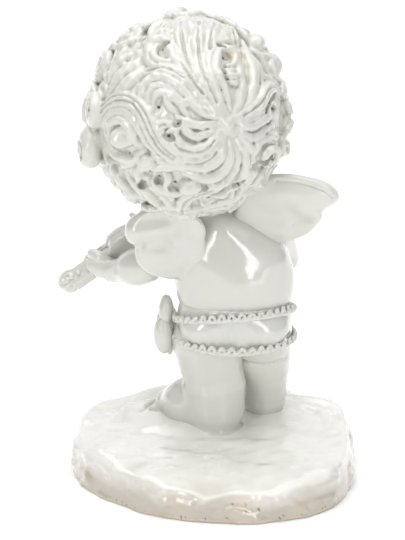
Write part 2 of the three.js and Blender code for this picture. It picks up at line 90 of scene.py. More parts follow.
def bar(a, b, ra, rb=None):
    """Round-ended bar from a to b."""
    a, b = np.asarray(a, float), np.asarray(b, float)
    rb = ra if rb is None else rb
    ab = b - a
    length2 = max(float(ab @ ab), 1e-9)

    def distance(x, y, z):
        x, y, z = x - a[0], y - a[1], z - a[2]
        t = np.clip((x * ab[0] + y * ab[1] + z * ab[2]) / length2, 0, 1)
        x, y, z = x - t * ab[0], y - t * ab[1], z - t * ab[2]
        return np.sqrt(x ** 2 + y ** 2 + z ** 2) - (ra + t * (rb - ra))
    r = max(ra, rb)
    return distance, np.minimum(a, b) - r, np.maximum(a, b) + r


def brick(c, half, turn=None, r=0.3):
    """Box with rounded edges."""
    c, half = np.asarray(c, float), np.asarray(half, float) - r

    def distance(x, y, z):
        x, y, z = into(x, y, z, c, turn)
        qx, qy, qz = np.abs(x) - half[0], np.abs(y) - half[1], np.abs(z) - half[2]
        out = np.sqrt(np.maximum(qx, 0) ** 2 + np.maximum(qy, 0) ** 2 + np.maximum(qz, 0) ** 2)
        return out + np.minimum(np.maximum(qx, np.maximum(qy, qz)), 0) - r
    reach = np.linalg.norm(half) + r
    return distance, c - reach, c + reach


def everywhere(distance, field):
    """A form that fills the whole grid."""
    return distance, field.lo, field.hi


def soft_min(a, b, k):
    """The smaller of two distances, rounded where they are within k."""
    if np.isscalar(k) and k <= 0:
        return np.minimum(a, b)
    h = np.maximum(k - np.abs(a - b), 0) / k
    return np.minimum(a, b) - h * h * k * 0.25


class Field:
    """A grid of signed distances that forms are joined to and cut from."""

    def __init__(self, lo, hi, step):
        self.step = step * COARSE
        self.lo = np.asarray(lo, float)
        count = np.ceil((np.asarray(hi, float) - self.lo) / self.step).astype(int) + 1
        self.hi = self.lo + (count - 1) * self.step
        self.axes = [self.lo[i] + self.step * np.arange(count[i]) for i in range(3)]
        self.d = np.full(count, FAR, np.float32)
        self.pits = []

    def block(self, form, k):
        _, lo, hi = form
        spans = []
        for i in range(3):
            a = int(math.floor((lo[i] - k - PAD - self.lo[i]) / self.step))
            b = int(math.ceil((hi[i] + k + PAD - self.lo[i]) / self.step)) + 1
            a, b = max(a, 0), min(b, self.d.shape[i])
            if a >= b:
                return None
            spans.append(slice(a, b))
        x, y, z = (self.axes[i][spans[i]].astype(np.float32) for i in range(3))
        return tuple(spans), x[:, None, None], y[None, :, None], z[None, None, :]

    def join(self, form, k=0.0):
        found = self.block(form, k)
        if found:
            s, x, y, z = found
            self.d[s] = soft_min(self.d[s], form[0](x, y, z), k)
        return self

    def cut(self, form, k=0.0):
        found = self.block(form, k)
        if found:
            s, x, y, z = found
            self.d[s] = -soft_min(-self.d[s], form[0](x, y, z), k)
        return self

    def pit(self, at, towards, r, depth, k=0.4):
        """A hole; its inside is darkened with painted shade through the pit attribute."""
        at, towards = np.asarray(at, float), unit(towards)
        self.cut(bar(at + towards * 2, at - towards * depth, r * 1.15, r * 0.7), k)
        self.pits.append((at, towards, r, depth))

    def roughen(self, size, amount, seed):
        """Uneven by hand: slow bumps of that size near the surface."""
        near = np.nonzero(np.abs(self.d) < 3)
        x, y, z = (self.axes[i][near[i]].astype(np.float32) for i in range(3))
        self.d[near] -= amount * waves(x, y, z, size, 7, seed)
        return self

    def join_all(self, forms, k=0.0):
        for form in forms:
            self.join(form, k)
        return self


CORNERS = [(0, 0, 0), (1, 0, 0), (0, 1, 0), (1, 1, 0), (0, 0, 1), (1, 0, 1), (0, 1, 1), (1, 1, 1)]
EDGES = [(0, 1), (2, 3), (4, 5), (6, 7), (0, 2), (1, 3), (4, 6), (5, 7), (0, 4), (1, 5), (2, 6), (3, 7)]


def sample(field, p):
    """Distance at any places, between the eight grid points round each."""
    g = (p - field.lo) / field.step
    i = np.clip(np.floor(g).astype(np.int32), 0, np.array(field.d.shape) - 2)
    t = np.clip(g - i, 0, 1)
    value = np.zeros(len(p))
    for corner in CORNERS:
        w = 1.0
        for axis in range(3):
            w = w * (t[:, axis] if corner[axis] else 1 - t[:, axis])
        value += w * field.d[i[:, 0] + corner[0], i[:, 1] + corner[1], i[:, 2] + corner[2]]
    return value


def nets(field):
    """Surface of the zero level as vertices and quads, facing out."""
    d = field.d
    inside = d < 0
    n = np.array(d.shape) - 1
    some = np.zeros(n, bool)
    whole = np.ones(n, bool)
    for dx, dy, dz in CORNERS:
        v = inside[dx:dx + n[0], dy:dy + n[1], dz:dz + n[2]]
        some |= v
        whole &= v
    active = some & ~whole
    cells = np.argwhere(active)
    number = np.full(n, -1, np.int32)
    number[active] = np.arange(len(cells), dtype=np.int32)
    corner = [d[cells[:, 0] + c[0], cells[:, 1] + c[1], cells[:, 2] + c[2]] for c in CORNERS]
    total = np.zeros((len(cells), 3))
    hits = np.zeros(len(cells))
    for a, b in EDGES:
        va, vb = corner[a], corner[b]
        m = (va < 0) != (vb < 0)
        t = (va[m] / (va[m] - vb[m]))[:, None]
        ca, cb = np.array(CORNERS[a], float), np.array(CORNERS[b], float)
        total[m] += ca + t * (cb - ca)
        hits[m] += 1
    points = field.lo + field.step * (cells + total / hits[:, None])
    quads = []
    for axis, (u, v) in enumerate(((1, 2), (2, 0), (0, 1))):
        here = [slice(1, -1)] * 3
        there = [slice(1, -1)] * 3
        here[axis], there[axis] = slice(0, -1), slice(1, None)
        a, b = inside[tuple(here)], inside[tuple(there)]
        at = np.argwhere(a != b)
        out = a[at[:, 0], at[:, 1], at[:, 2]]
        base = at.copy()
        base[:, u] += 1
        base[:, v] += 1
        ring = []
        for du, dv in ((1, 1), (0, 1), (0, 0), (1, 0)):
            c = base.copy()
            c[:, u] -= du
            c[:, v] -= dv
            ring.append(number[c[:, 0], c[:, 1], c[:, 2]])
        q = np.stack(ring, 1)
        q[~out] = q[~out][:, ::-1]
        quads.append(q)
    quads = np.concatenate(quads)
    quads = quads[(quads >= 0).all(1)]
    return points, quads


def settle(field, points):
    """Moves each point onto the zero level, and says how hollow the surface is there."""
    e = field.step * 0.6
    axes = np.eye(3)
    for _ in range(2):
        slopes = [(sample(field, points + e * a) - sample(field, points - e * a)) / (2 * e) for a in axes]
        grad = np.stack(slopes, 1)
        size2 = np.maximum((grad ** 2).sum(1), 0.09)
        move = grad * (sample(field, points) / size2)[:, None]
        far = np.linalg.norm(move, axis=1)
        points = points - move * np.minimum(1, 0.4 * field.step / np.maximum(far, 1e-9))[:, None]
    reach = 1.1
    around = sum(sample(field, points + reach * s * a) for a in axes for s in (1, -1)) / 6
    return points, np.clip(-around * 2.4 / reach, 0, 1)


def darkness(field, points):
    """How deep in a pit each point is."""
    dark = np.zeros(len(points))
    for at, towards, r, depth in field.pits:
        near = np.abs(points - at).max(1) < depth + 3
        p = points[near] - at
        along = p @ towards
        aside = np.linalg.norm(p - along[:, None] * towards, axis=1)
        d = np.clip((r * 1.5 - aside) / (r * 0.6), 0, 1) * np.clip((-along + 0.2) / 1.2, 0, 1)
        dark[near] = np.maximum(dark[near], d)
    return dark


def shown(name, field, material, *nodes, slot="glaze"):
    """Makes the piece from its field, in place of the CAD nodes."""
    points, quads = nets(field)
    points, hollow = settle(field, points)
    mesh = bpy.data.meshes.new(name)
    mesh.vertices.add(len(points))
    mesh.vertices.foreach_set("co", (points * MM).astype(np.float32).ravel())
    mesh.loops.add(quads.size)
    mesh.loops.foreach_set("vertex_index", quads.astype(np.int32).ravel())
    mesh.polygons.add(len(quads))
    mesh.polygons.foreach_set("loop_start", np.arange(0, quads.size, 4, dtype=np.int32))
    mesh.polygons.foreach_set("use_smooth", np.ones(len(quads), bool))
    mesh.update(calc_edges=True)
    # hollow and pit are the masks for painted shade in the glaze.
    for label, values in (("hollow", hollow), ("pit", darkness(field, points))):
        layer = mesh.attributes.new(label, "FLOAT", "POINT")
        layer.data.foreach_set("value", values.astype(np.float32))
    mesh.materials.append(material)
    piece = bpy.data.objects.new(name, mesh)
    bpy.context.scene.collection.objects.link(piece)
    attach(piece, "root")
    if nodes:
        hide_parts(*nodes)


# ---- materials ----

def node(tree, kind, **values):
    n = tree.nodes.new(kind)
    for key, value in values.items():
        if key in n.inputs:
            n.inputs[key].default_value = value
        else:
            setattr(n, key, value)
    return n


def ramp(tree, source, stops):
    n = tree.nodes.new("ShaderNodeValToRGB")
    elements = n.color_ramp.elements
    while len(elements) < len(stops):
        elements.new(0.5)
    for element, (place, value) in zip(elements, stops):
        element.position = place
        element.color = (*value, 1) if isinstance(value, tuple) else (value, value, value, 1)
    tree.links.new(source, n.inputs["Fac"])
    return n.outputs["Color"]


def blend(tree, factor, a, b):
    n = tree.nodes.new("ShaderNodeMix")
    n.data_type = "RGBA"
    for slot_name, value in (("Factor", factor), ("A", a), ("B", b)):
        socket = next(s for s in n.inputs if s.name == slot_name and s.enabled)
        if isinstance(value, bpy.types.NodeSocket):
            tree.links.new(value, socket)
        elif slot_name == "Factor":
            socket.default_value = value
        else:
            socket.default_value = (*value, 1)
    return next(s for s in n.outputs if s.enabled)


def maths(tree, operation, a, b=0.0):
    n = tree.nodes.new("ShaderNodeMath")
    n.operation = operation
    for socket, value in zip(n.inputs, (a, b)):
        if isinstance(value, bpy.types.NodeSocket):
            tree.links.new(value, socket)
        else:
            socket.default_value = value
    return n.outputs["Value"]


def noise(tree, place, scale, detail=2.0, roughness=0.5):
    n = node(tree, "ShaderNodeTexNoise", Scale=scale, Detail=detail, Roughness=roughness)
    tree.links.new(place, n.inputs["Vector"])
    return n.outputs["Fac"]


WHITE = (0.668, 0.665, 0.622)
CREAM = (0.68, 0.655, 0.58)
# Painted shade for hollows and creases, warm-tinted.
CREVICE_SHADE = (0.35, 0.335, 0.28)
# Painted shade for the insides of pits, brown-tinted.
PIT_SHADE = (0.17, 0.125, 0.085)
PINHOLE = (0.17, 0.10, 0.05)
BARE = (0.66, 0.55, 0.43)
# Painted shade for the rock's sides, darker and warmer than its top.
ROCK_SIDE_SHADE = (0.50, 0.455, 0.385)
ROCK_FOOT = (0.60, 0.52, 0.41)


def glaze(name, white=WHITE, pinholes=0.35, wear=0.0, low_edge=None, gloss=0.06, stains=()):
    """Poured white glaze: slight waves, painted shade (darker and warmer) in the hollows and in pits, with
    pinholes.
    """
    mat = bpy.data.materials.new(name)
    mat.use_nodes = True
    tree = mat.node_tree
    bsdf = tree.nodes["Principled BSDF"]
    place = tree.nodes.new("ShaderNodeTexCoord").outputs["Object"]
    hollow = node(tree, "ShaderNodeAttribute", attribute_name="hollow").outputs["Fac"]
    pit = node(tree, "ShaderNodeAttribute", attribute_name="pit").outputs["Fac"]
    cloud = ramp(tree, noise(tree, place, 38, 3), [(0.42, 0.0), (0.72, 1.0)])
    colour = blend(tree, maths(tree, "MULTIPLY", cloud, 0.4), white, CREAM)
    # Painted shade: hollows darken towards the crevice colour.
    colour = blend(tree, ramp(tree, hollow, [(0.12, 0.0), (0.8, 0.85)]), colour, CREVICE_SHADE)
    cells = node(tree, "ShaderNodeTexVoronoi", Scale=430.0, Randomness=1.0)
    tree.links.new(place, cells.inputs["Vector"])
    dot = ramp(tree, cells.outputs["Distance"], [(0.10, 1.0), (0.17, 0.0)])
    lucky = maths(tree, "LESS_THAN", cells.outputs["Color"], pinholes * 0.12)
    patch = ramp(tree, noise(tree, place, 55, 1), [(0.46, 0.0), (0.60, 1.0)])
    holes = maths(tree, "MULTIPLY", maths(tree, "MULTIPLY", dot, lucky), patch)
    if wear > 0:
        bare = ramp(tree, noise(tree, place, 120, 6, 0.7), [(0.56, 0.0), (0.70, 1.0)])
        colour = blend(tree, maths(tree, "MULTIPLY", bare, wear), colour, BARE)
    if low_edge:
        height = tree.nodes.new("ShaderNodeSeparateXYZ")
        tree.links.new(place, height.inputs["Vector"])
        sway = maths(tree, "MULTIPLY", noise(tree, place, 45, 3), 0.012)
        uneven = maths(tree, "ADD", height.outputs["Z"], sway)
        # Painted shade: the rock's sides below the top are darkened and warmed.
        side = ramp(tree, maths(tree, "MULTIPLY", uneven, 30.0), [(0.38, 1.0), (0.66, 0.0)])
        colour = blend(tree, maths(tree, "MULTIPLY", side, 0.95), colour, ROCK_SIDE_SHADE)
        wobble = maths(tree, "MULTIPLY", noise(tree, place, 160, 4), 0.0034)
        low = maths(tree, "LESS_THAN", maths(tree, "ADD", height.outputs["Z"], wobble), low_edge)
        colour = blend(tree, low, colour, ROCK_FOOT)
    for at, reach, depth, tint in stains:
        away = tree.nodes.new("ShaderNodeVectorMath")
        away.operation = "DISTANCE"
        tree.links.new(place, away.inputs[0])
        away.inputs[1].default_value = tuple(float(v) * MM for v in at)
        ragged = maths(tree, "ADD", maths(tree, "MULTIPLY", away.outputs["Value"], 1 / (reach * MM)),
                       maths(tree, "MULTIPLY", noise(tree, place, 130, 4), 0.7))
        stain = maths(tree, "MULTIPLY", ramp(tree, ragged, [(0.55, 1.0), (1.0, 0.0)]), depth)
        colour = blend(tree, stain, colour, tint)
    colour = blend(tree, holes, colour, PINHOLE)
    # Painted shade: the insides of pits are darkened.
    colour = blend(tree, pit, colour, PIT_SHADE)
    tree.links.new(colour, bsdf.inputs["Base Color"])
    rough = ramp(tree, noise(tree, place, 90, 2), [(0.35, 0.06 + gloss), (0.75, 0.18 + gloss)])
    if low_edge:
        rough = blend(tree, low, rough, (0.75, 0.75, 0.75))
    tree.links.new(rough, bsdf.inputs["Roughness"])
    bsdf.inputs["Coat Weight"].default_value = 1.0
    bsdf.inputs["Coat Roughness"].default_value = gloss
    bsdf.inputs["IOR"].default_value = 1.5
    waves = maths(tree, "MULTIPLY", noise(tree, place, 140, 2, 0.4), 0.35)
    fine = maths(tree, "MULTIPLY", noise(tree, place, 700, 2), 0.04)
    height_map = maths(tree, "SUBTRACT", maths(tree, "ADD", waves, fine), maths(tree, "MULTIPLY", holes, 0.6))
    bump = node(tree, "ShaderNodeBump", Strength=0.35, Distance=0.0012)
    tree.links.new(height_map, bump.inputs["Height"])
    tree.links.new(bump.outputs["Normal"], bsdf.inputs["Normal"])
    return mat


def felt_material():
    mat = bpy.data.materials.new("felt")
    mat.use_nodes = True
    tree = mat.node_tree
    bsdf = tree.nodes["Principled BSDF"]
    place = tree.nodes.new("ShaderNodeTexCoord").outputs["Object"]
    fibre = noise(tree, place, 900, 6, 0.8)
    colour = blend(tree, fibre, (0.40, 0.37, 0.31), (0.58, 0.55, 0.48))
    tree.links.new(colour, bsdf.inputs["Base Color"])
    bsdf.inputs["Roughness"].default_value = 0.95
    bsdf.inputs["Sheen Weight"].default_value = 0.4
    bump = node(tree, "ShaderNodeBump", Strength=0.6, Distance=0.0004)
    tree.links.new(fibre, bump.inputs["Height"])
    tree.links.new(bump.outputs["Normal"], bsdf.inputs["Normal"])
    return mat


# ---- places, in millimetres, as in the CAD ----

HEAD = vec(10.8, -5, 157)
HAIR_RADIUS = 43.0
SCALP = 39.6
HAIR_TIP = turned((1, 0, 0), 19.5)
FACE_TURN = turned((0, 0, 1), 22)
LEFT_LEG = (vec(3, -7, 58), vec(1.5, -8, 47), vec(-1, -10, 33), vec(-1, -10, 27))
RIGHT_LEG = (vec(-19, -13, 58), vec(-21, -19, 46), vec(-21, -25, 31), vec(-21, -26, 27))
LEFT_ARM = (vec(13, -14, 105), vec(28, -10, 90), vec(42, -25, 82))
RIGHT_ARM = (vec(-24, -17, 104), vec(-28.5, -30, 87), vec(-15, -45, 81.5))
HIPS = vec(-8.5, -8, 0)
HIP_SIDE = ((56.5, 21.6), (58.3, 22.6), (60.5, 23.8), (65, 24.2), (70, 24.0), (76, 23.0), (81, 18.0))
WAIST_BRAID = (vec(-8.5, -8, 69.5), (24.4, 20.2), turned((1, 0, 0), 14) @ turned((0, 1, 0), 5))
HEM_BRAID = (vec(-8.5, -8, 59.6), (24.6, 20.6), turned((1, 0, 0), 1))
CHIN_END = vec(14.2, -25.8, 111.2)
ALONG = unit((0.765, -0.14, -0.605))
SIDE = unit(np.cross((0.253, -0.83, 0.497), ALONG))
UP = np.cross(ALONG, SIDE)
VIOLIN = np.stack([ALONG, SIDE, UP], 1)
TOP = 2.75
BRIDGE = 18.4
STRING = 0.24

SKIN = glaze("glaze_skin", pinholes=0.25)
HAIR = glaze("glaze_hair", (0.665, 0.662, 0.617), pinholes=0.5, gloss=0.03, stains=(
    (HEAD + HAIR_RADIUS * (HAIR_TIP @ unit((-22.5, 28, 27))), 13, 0.5, (0.70, 0.62, 0.47)),
    (HEAD + HAIR_RADIUS * (HAIR_TIP @ unit((-14, 12, 38))), 10, 0.3, (0.70, 0.62, 0.48))))
CLOTH = glaze("glaze_cloth", pinholes=0.5)
# Its white is lighter than the figure's glaze: painted light on the rock's upward-facing top.
ROCK = glaze(
    "glaze_rock", (0.88, 0.875, 0.835), pinholes=0.6, wear=0.25, low_edge=0.0031, gloss=0.13, stains=(
        ((-12, 54, 6), 15, 0.3, (0.74, 0.62, 0.50)), ((-34, 45, 5), 15, 0.4, (0.72, 0.61, 0.49)),
        ((-8, 53, 8.5), 3.4, 0.8, (0.42, 0.28, 0.16)), ((14, 52, 5), 16, 0.3, (0.70, 0.60, 0.48))))
WOOD = glaze("glaze_violin", pinholes=0.3)


def on_violin(x, y, z):
    """Place measured along, across and up from the chin end of the violin."""
    return CHIN_END + VIOLIN @ vec(x, y, z)


BOW_ALONG = unit((-0.286, -0.953, -0.05))
BOW_ACROSS = np.cross((0, 0, 1), BOW_ALONG)
BOW = VIOLIN @ np.stack([BOW_ALONG, BOW_ACROSS, vec(0, 0, 1)], 1)
BOW_START = on_violin(*(vec(21.5, 0, TOP + 3.9) - 2.5 * BOW_ALONG))


def on_bow(x, y, z):
    """Place measured along, across and up from the tip of the bow."""
    return BOW_START + BOW @ vec(x, y, z)


def on_head(x, y, z):
    """Place measured from the middle of the head, which looks towards -Y before it turns."""
    return HEAD + FACE_TURN @ vec(x, y, z)


def waves(x, y, z, size, count, seed):
    """Smooth bumps of about that size, between -1 and 1."""
    r = np.random.RandomState(seed)
    total = 0
    for _ in range(count):
        k = unit(r.normal(size=3)) * 2 * math.pi / (size * r.uniform(0.7, 1.5))
        total = total + np.sin(k[0] * x + k[1] * y + k[2] * z + r.uniform(0, 6.28))
    return total / math.sqrt(count) * 0.7


def between(a, b, c, d, u):
    """Place at a share u of the way from b to c, on a smooth curve through all four."""
    return 0.5 * (2 * b + (c - a) * u + (2 * a - 5 * b + 4 * c - d) * u * u
                  + (3 * b - a - 3 * c + d) * u ** 3)


def curve(points, steps):
    """Points on a smooth curve through the given ones."""
    p = np.asarray(points, float)
    p = np.vstack([2 * p[0] - p[1], p, 2 * p[-1] - p[-2]])
    spans = len(p) - 3
    out = []
    for t in np.linspace(0, spans, steps):
        i = min(int(t), spans - 1)
        out.append(between(*p[i:i + 4], t - i))
    return np.array(out)


def curve_on(frame_of, points, steps, side=1):
    """Curve through places on the head, violin or bow; a side of -1 mirrors it."""
    return curve([frame_of(side * x, y, z) for x, y, z in points], steps)


def bar_on(frame_of, a, b, ra, rb=None):
    return bar(frame_of(*a), frame_of(*b), ra, rb)


def strand(field, points, radii, k=0.3):
    """Joins round bars along a route."""
    radii = np.broadcast_to(radii, len(points))
    for a, b, ra, rb in zip(points[:-1], points[1:], radii[:-1], radii[1:]):
        field.join(bar(a, b, ra, rb), k)


def groove(field, points, r, k):
    """Cuts a round groove along a route."""
    for a, b in zip(points[:-1], points[1:]):
        field.cut(bar(a, b, r), k)


# ---- base ----

BASE_LONG, BASE_SHORT, BASE_TURN = 64.5, 54.0, math.radians(-45)
BASE_HEIGHT = 19
BASE_PITS = 46
CRACK_PITS = 9


def base_reach(angle):
    local = angle - BASE_TURN
    oval = BASE_LONG * BASE_SHORT / np.hypot(BASE_SHORT * np.cos(local), BASE_LONG * np.sin(local))
    turn = np.mod(angle, 2 * math.pi)
    around = np.mod(angle + 1.0, 2 * math.pi) - 1.0
    shoulder = 11 * np.exp(-((turn - math.radians(216)) / math.radians(27)) ** 2)
    cheek = 2.4 * np.exp(-((around - math.radians(14)) / math.radians(36)) ** 2)
    flat = 3 * np.exp(-((turn - math.radians(312)) / math.radians(18)) ** 2)
    return oval * (1 + 0.01 * np.sin(5 * turn + 2)) + shoulder + cheek - flat


def base_top(x, y):
    folds = 0.5 * waves(x, y, 0 * x, 26, 6, 3)
    return 18.9 - 0.045 * y + folds


def rim_drop(angle):
    """The rim is lower and rounder in places, most of all behind."""
    turn = np.mod(angle, 2 * math.pi)
    behind = 5.2 * np.exp(-((turn - math.radians(90)) / math.radians(36)) ** 2)
    uneven = 1.0 * np.sin(9 * turn + 1) + 0.7 * np.sin(17 * turn)
    return behind + uneven * np.exp(-((turn - math.radians(85)) / 1.1) ** 4)


def rim_height(x, y, angle, out, reach):
    """Height of the top, which falls away towards the rim."""
    edge = np.clip((out - reach * 0.56) / (reach * 0.42), 0, 1)
    return base_top(x, y) - rim_drop(angle) * edge ** 2 - 1.0 * edge ** 4


def base_piece():
    f = Field((-68, -68, 0.0), (68, 68, 27), 0.78)

    def rock(x, y, z):
        angle = np.arctan2(y, x)
        reach = base_reach(angle)
        out = np.hypot(x, y)
        top = rim_height(x, y, angle, out, reach)
        share = np.clip(z / BASE_HEIGHT, 0, 1)
        lean = 0.99 - 0.05 * share ** 2 - 0.012 * (1 - share) ** 4
        rough = np.clip(1.15 - share, 0, 1)
        ledge = waves(0.9 * x, 0.9 * y, 2.6 * z, 19, 7, 21)
        crag = 1.1 * np.tanh(3.0 * ledge) + 0.5 * waves(x, y, 1.6 * z, 7, 8, 6)
        crag = crag + 1.0 * waves(x, y, 0.5 * z, 30, 5, 11)
        crag = np.clip(crag + 1.1 * np.tanh(3.0 * waves(x, y, 0.9 * z, 14, 6, 17)), -0.8, 2.6)
        crag = crag * (0.25 + 0.75 * rough) * (0.35 + 0.4 * np.clip(z / 6, 0, 1))
        side = (out - reach * lean + 1.1) * 0.96 - crag
        over = z - top - 0.2 * waves(x, y, z, 9, 6, 8) - 0.4 * np.tanh(1.6 * waves(x, y, z, 17, 6, 9))
        body = -soft_min(-side, -over, 2.8 + 1.4 * np.sin(3 * angle + 1))
        return -soft_min(-body, z - 0.25, 0.8)
    f.join(everywhere(rock, f))
    # Folds of cloth that lie along the far rim.
    folds = ((4, -75, -14, 1.7), (8, -86, -20, 1.4), (13, -92, -36, 1.1), (18, -80, -48, 0.9),
             (5, 188, 232, 1.6), (11, 196, 246, 1.2))
    for i, (inset, start, end, r) in enumerate(folds):
        angles = np.radians(np.linspace(start, end, 16))
        places = []
        for j, a in enumerate(angles):
            whole = float(base_reach(a))
            reach = whole - 4 - inset - 2.2 * math.sin(j * 0.4 + 2 * i) - 0.3 * j * (i % 2)
            x, y = reach * math.cos(a), reach * math.sin(a)
            top = float(rim_height(np.array(x), np.array(y), a, reach, whole))
            places.append((x, y, top - 0.9 * r + 0.2 * math.sin(0.9 * j + i)))
        strand(f, places, r * (0.4 + 0.55 * np.sin(np.linspace(0.25, 2.9, 16))), 3.2)
    # A short crease beside the left foot, dents behind it, and the mound the feet press up.
    f.join(egg((12, -18, 16.5), (21, 18, 5.2)), 5)
    f.join(egg((-21, -30, 17.0), (14, 18, 4.6)), 4)
    groove(f, [(24, -33, 20.8), (28, -28, 20.4), (31, -22, 19.9)], 0.6, 1.4)
    groove(f, [(30, 22, 18.8), (24, 25, 18.6), (18, 26, 18.5)], 0.7, 2.0)
    groove(f, [(20, 31, 18.3), (14, 33, 18.1)], 0.6, 1.6)
    # A slit under the rim at the near left, and a broken patch low down behind.
    slit = [base_place(math.radians(a), 14.2 + 0.25 * math.sin(a), 0.2) for a in np.linspace(44, 52, 7)]
    groove(f, slit, 0.35, 0.8)
    crack = ((98, 9.5), (101, 8), (103, 7.6), (106, 6.2), (108, 6.4))
    groove(f, [base_place(math.radians(a), h, 0.3) for a, h in crack], 0.4, 0.7)
    for _ in range(CRACK_PITS):
        a, h = math.radians(rng.uniform(97, 109)), rng.uniform(5.5, 10)
        f.pit(base_place(a, h, 0.4), (math.cos(a), math.sin(a), 0), rng.uniform(0.2, 0.36), 0.8, 0.2)
    for _ in range(BASE_PITS):
        a, h = math.radians(rng.uniform(5, 175)), rng.uniform(1.2, 2.8)
        f.pit(base_place(a, h, 0.2), (math.cos(a), math.sin(a), 0), rng.uniform(0.16, 0.36), 0.7, 0.15)
    shown("base_rock_stone", f, ROCK, "base_rock")


def base_place(angle, height, out):
    """Place on the side of the rock, that far out from its surface."""
    reach = float(base_reach(np.array(angle))) * (0.99 - 0.05 * (height / BASE_HEIGHT) ** 2) - 1.1 + out
    return (reach * math.cos(angle), reach * math.sin(angle), height)


# ---- body ----

def torso_forms():
    return [egg((-8.6, -9, 84), (25, 20, 26)), egg((-2, -8.4, 96), (18.5, 16, 19)),
            bar((1, -9, 105), (7, -8, 122), 9.6, 9.2)]


def torso_piece():
    f = Field((-38, -34, 58), (24, 16, 128), 0.6)
    f.join_all(torso_forms(), 5)
    f.join(bar((-2, -12, 106), (13, -14, 104), 7.5, 8), 6)
    f.join(bar((-2, -12, 106), (-22, -17, 102), 7.5, 8), 6)
    f.join(bar((-4.3, -1, 107.4), (-22.2, -2.4, 95.6), 6.2, 6.4), 6)
    f.join(egg((2, -18, 99), (9, 7, 7)), 5).join(egg((-15, -19, 99), (9, 7, 7)), 5)
    f.join(egg((-9, -17, 79), (17, 13.5, 14)), 6)
    f.cut(ball((-9, -31.6, 80), 1.6), 2)
    shown("torso_body", f, SKIN, "torso")


def hip_distance(x, y, z, grow=0.0):
    heights, widths = zip(*HIP_SIDE)
    r = np.interp(z, heights, widths).astype(np.float32) + grow
    return (np.hypot(x - HIPS[0], (y - HIPS[1]) / 0.82) - r) * 0.85


def loincloth_piece():
    f = Field((-38, -34, 52), (22, 18, 86), 0.6)

    def cloth(x, y, z):
        angle = np.arctan2(y - HIPS[1], x - HIPS[0])
        folds = 0.35 * np.sin(9 * angle + 0.3 * z) * np.clip((70 - z) / 8, 0, 1)
        side = hip_distance(x, y, z) - folds
        low = 58.6 - z + 0 * x
        high = z - 80 + 0 * x
        return -soft_min(-(-soft_min(-side, -low, 3)), -high, 4)
    f.join(everywhere(cloth, f))
    # The seat: two soft rounds under the cloth, and a soft dip between them.
    f.join(egg((3, 0.6, 66.5), (11, 9.6, 7.5)), 3).join(egg((-20, 1.4, 66.5), (11, 9.6, 7.5)), 3)
    groove(f, [(-7.5, 13.6, 70), (-6.5, 13.2, 61)], 1.2, 5)
    shown("loincloth_wrap", f, CLOTH, "loincloth")


def ring_point(braid, angle, out=0.0, up=0.0):
    """Place on a braid's tilted oval, moved out or up from it."""
    centre, (rx, ry), turn = braid
    return centre + turn @ vec((rx + out) * math.cos(angle), (ry + out) * math.sin(angle), up)


def braid_piece(name, braid, count, seed):
    lo, hi = braid[0] - vec(31, 27, 13), braid[0] + vec(31, 27, 13)
    f = Field(lo, hi, 0.42)
    r = np.random.RandomState(seed)
    steps = count * 8
    cord, ruffle = [], []
    for i in range(steps + 1):
        a = 2 * math.pi * i / steps
        phase = 2 * math.pi * count * i / steps
        lump = 0.25 * math.sin(5 * a + seed) + 0.2 * math.sin(13 * a)
        cord.append(ring_point(braid, a, 0.25, -1.0 + 0.2 * math.sin(3 * a)))
        up = 0.45 + (0.95 + lump) * math.sin(phase + lump)
        ruffle.append(ring_point(braid, a, 0.85 + 0.3 * math.cos(phase), up))
    strand(f, cord, 0.9, 0.3)
    strand(f, ruffle, 0.76, 0.3)
    for i in range(count):
        a = 2 * math.pi * (i + 0.75 + r.uniform(-0.08, 0.08)) / count
        out = unit(ring_point(braid, a, 1) - ring_point(braid, a, 0))
        f.pit(ring_point(braid, a, 0.5, 0.35), out, 0.42, 1.0, 0.2)
    shown(name + "_rope", f, CLOTH, name)


# Each ribbon: name, middle, half sizes, tilt, and the ends and radius of the dent along it.
HIP_BOW = (
    ("hip_bow_knot", (21, -12.5, 65.8), (3.3, 3.6, 3.4), None, (24.6, -12.5, 69), (24.6, -12.5, 62), 0.8),
    ("hip_bow_back_loop", (21, -7.6, 60), (4.3, 4.7, 8.2), ((0, 1, 0), 3),
     (17, -2.6, 66), (17.5, -1.6, 54), 0.9),
    ("hip_bow_front_loop", (20, -9.4, 70.6), (3.3, 4.3, 6.4), ((1, 0, 0), 14),
     (22.8, -10, 75), (23.6, -11, 66.5), 0.8),
    ("hip_bow_long_tail", (18.6, -18, 56), (2.3, 3.2, 8.2), ((1, 0, 0), 14),
     (21, -18.5, 60), (21, -20.5, 50), 0.7),
    ("hip_bow_short_tail", (17.4, -20.6, 61.5), (2.3, 3.2, 6.4), ((1, 0, 0), 38),
     (19.4, -22, 62), (18.6, -24.5, 58), 0.7),
)


def hip_bow():
    for name, middle, half, tilt, a, b, dent in HIP_BOW:
        middle, half = vec(*middle), vec(*half)
        f = Field(middle - half.max() - 2.5, middle + half.max() + 2.5, 0.35)
        f.join(egg(middle, half, turned(*tilt) if tilt else None))
        groove(f, [vec(*a), vec(*b)], dent, 1.2)
        shown(name + "_ribbon", f, CLOTH, name)


TOE_RADII = (1.75, 1.95, 2.1, 2.3, 3.0)


def toes(f, ball_of_foot, tip, width):
    """Toes across the end of a foot."""
    ahead = unit(tip - ball_of_foot)
    across = unit(np.cross(ahead, (0, 0, 1)))
    for i, r in enumerate(TOE_RADII):
        place = tip + across * (i - 2) * width - ahead * 0.5 * abs(i - 1.2)
        place = vec(place[0], place[1], place[2] - 0.8)
        f.join(bar(place - ahead * 3, place + ahead * 0.8, r, r * 0.92), 0.7)


def ground(f):
    return everywhere(lambda x, y, z: z - base_top(x + 0 * y, y + 0 * x) + 0 * x, f)


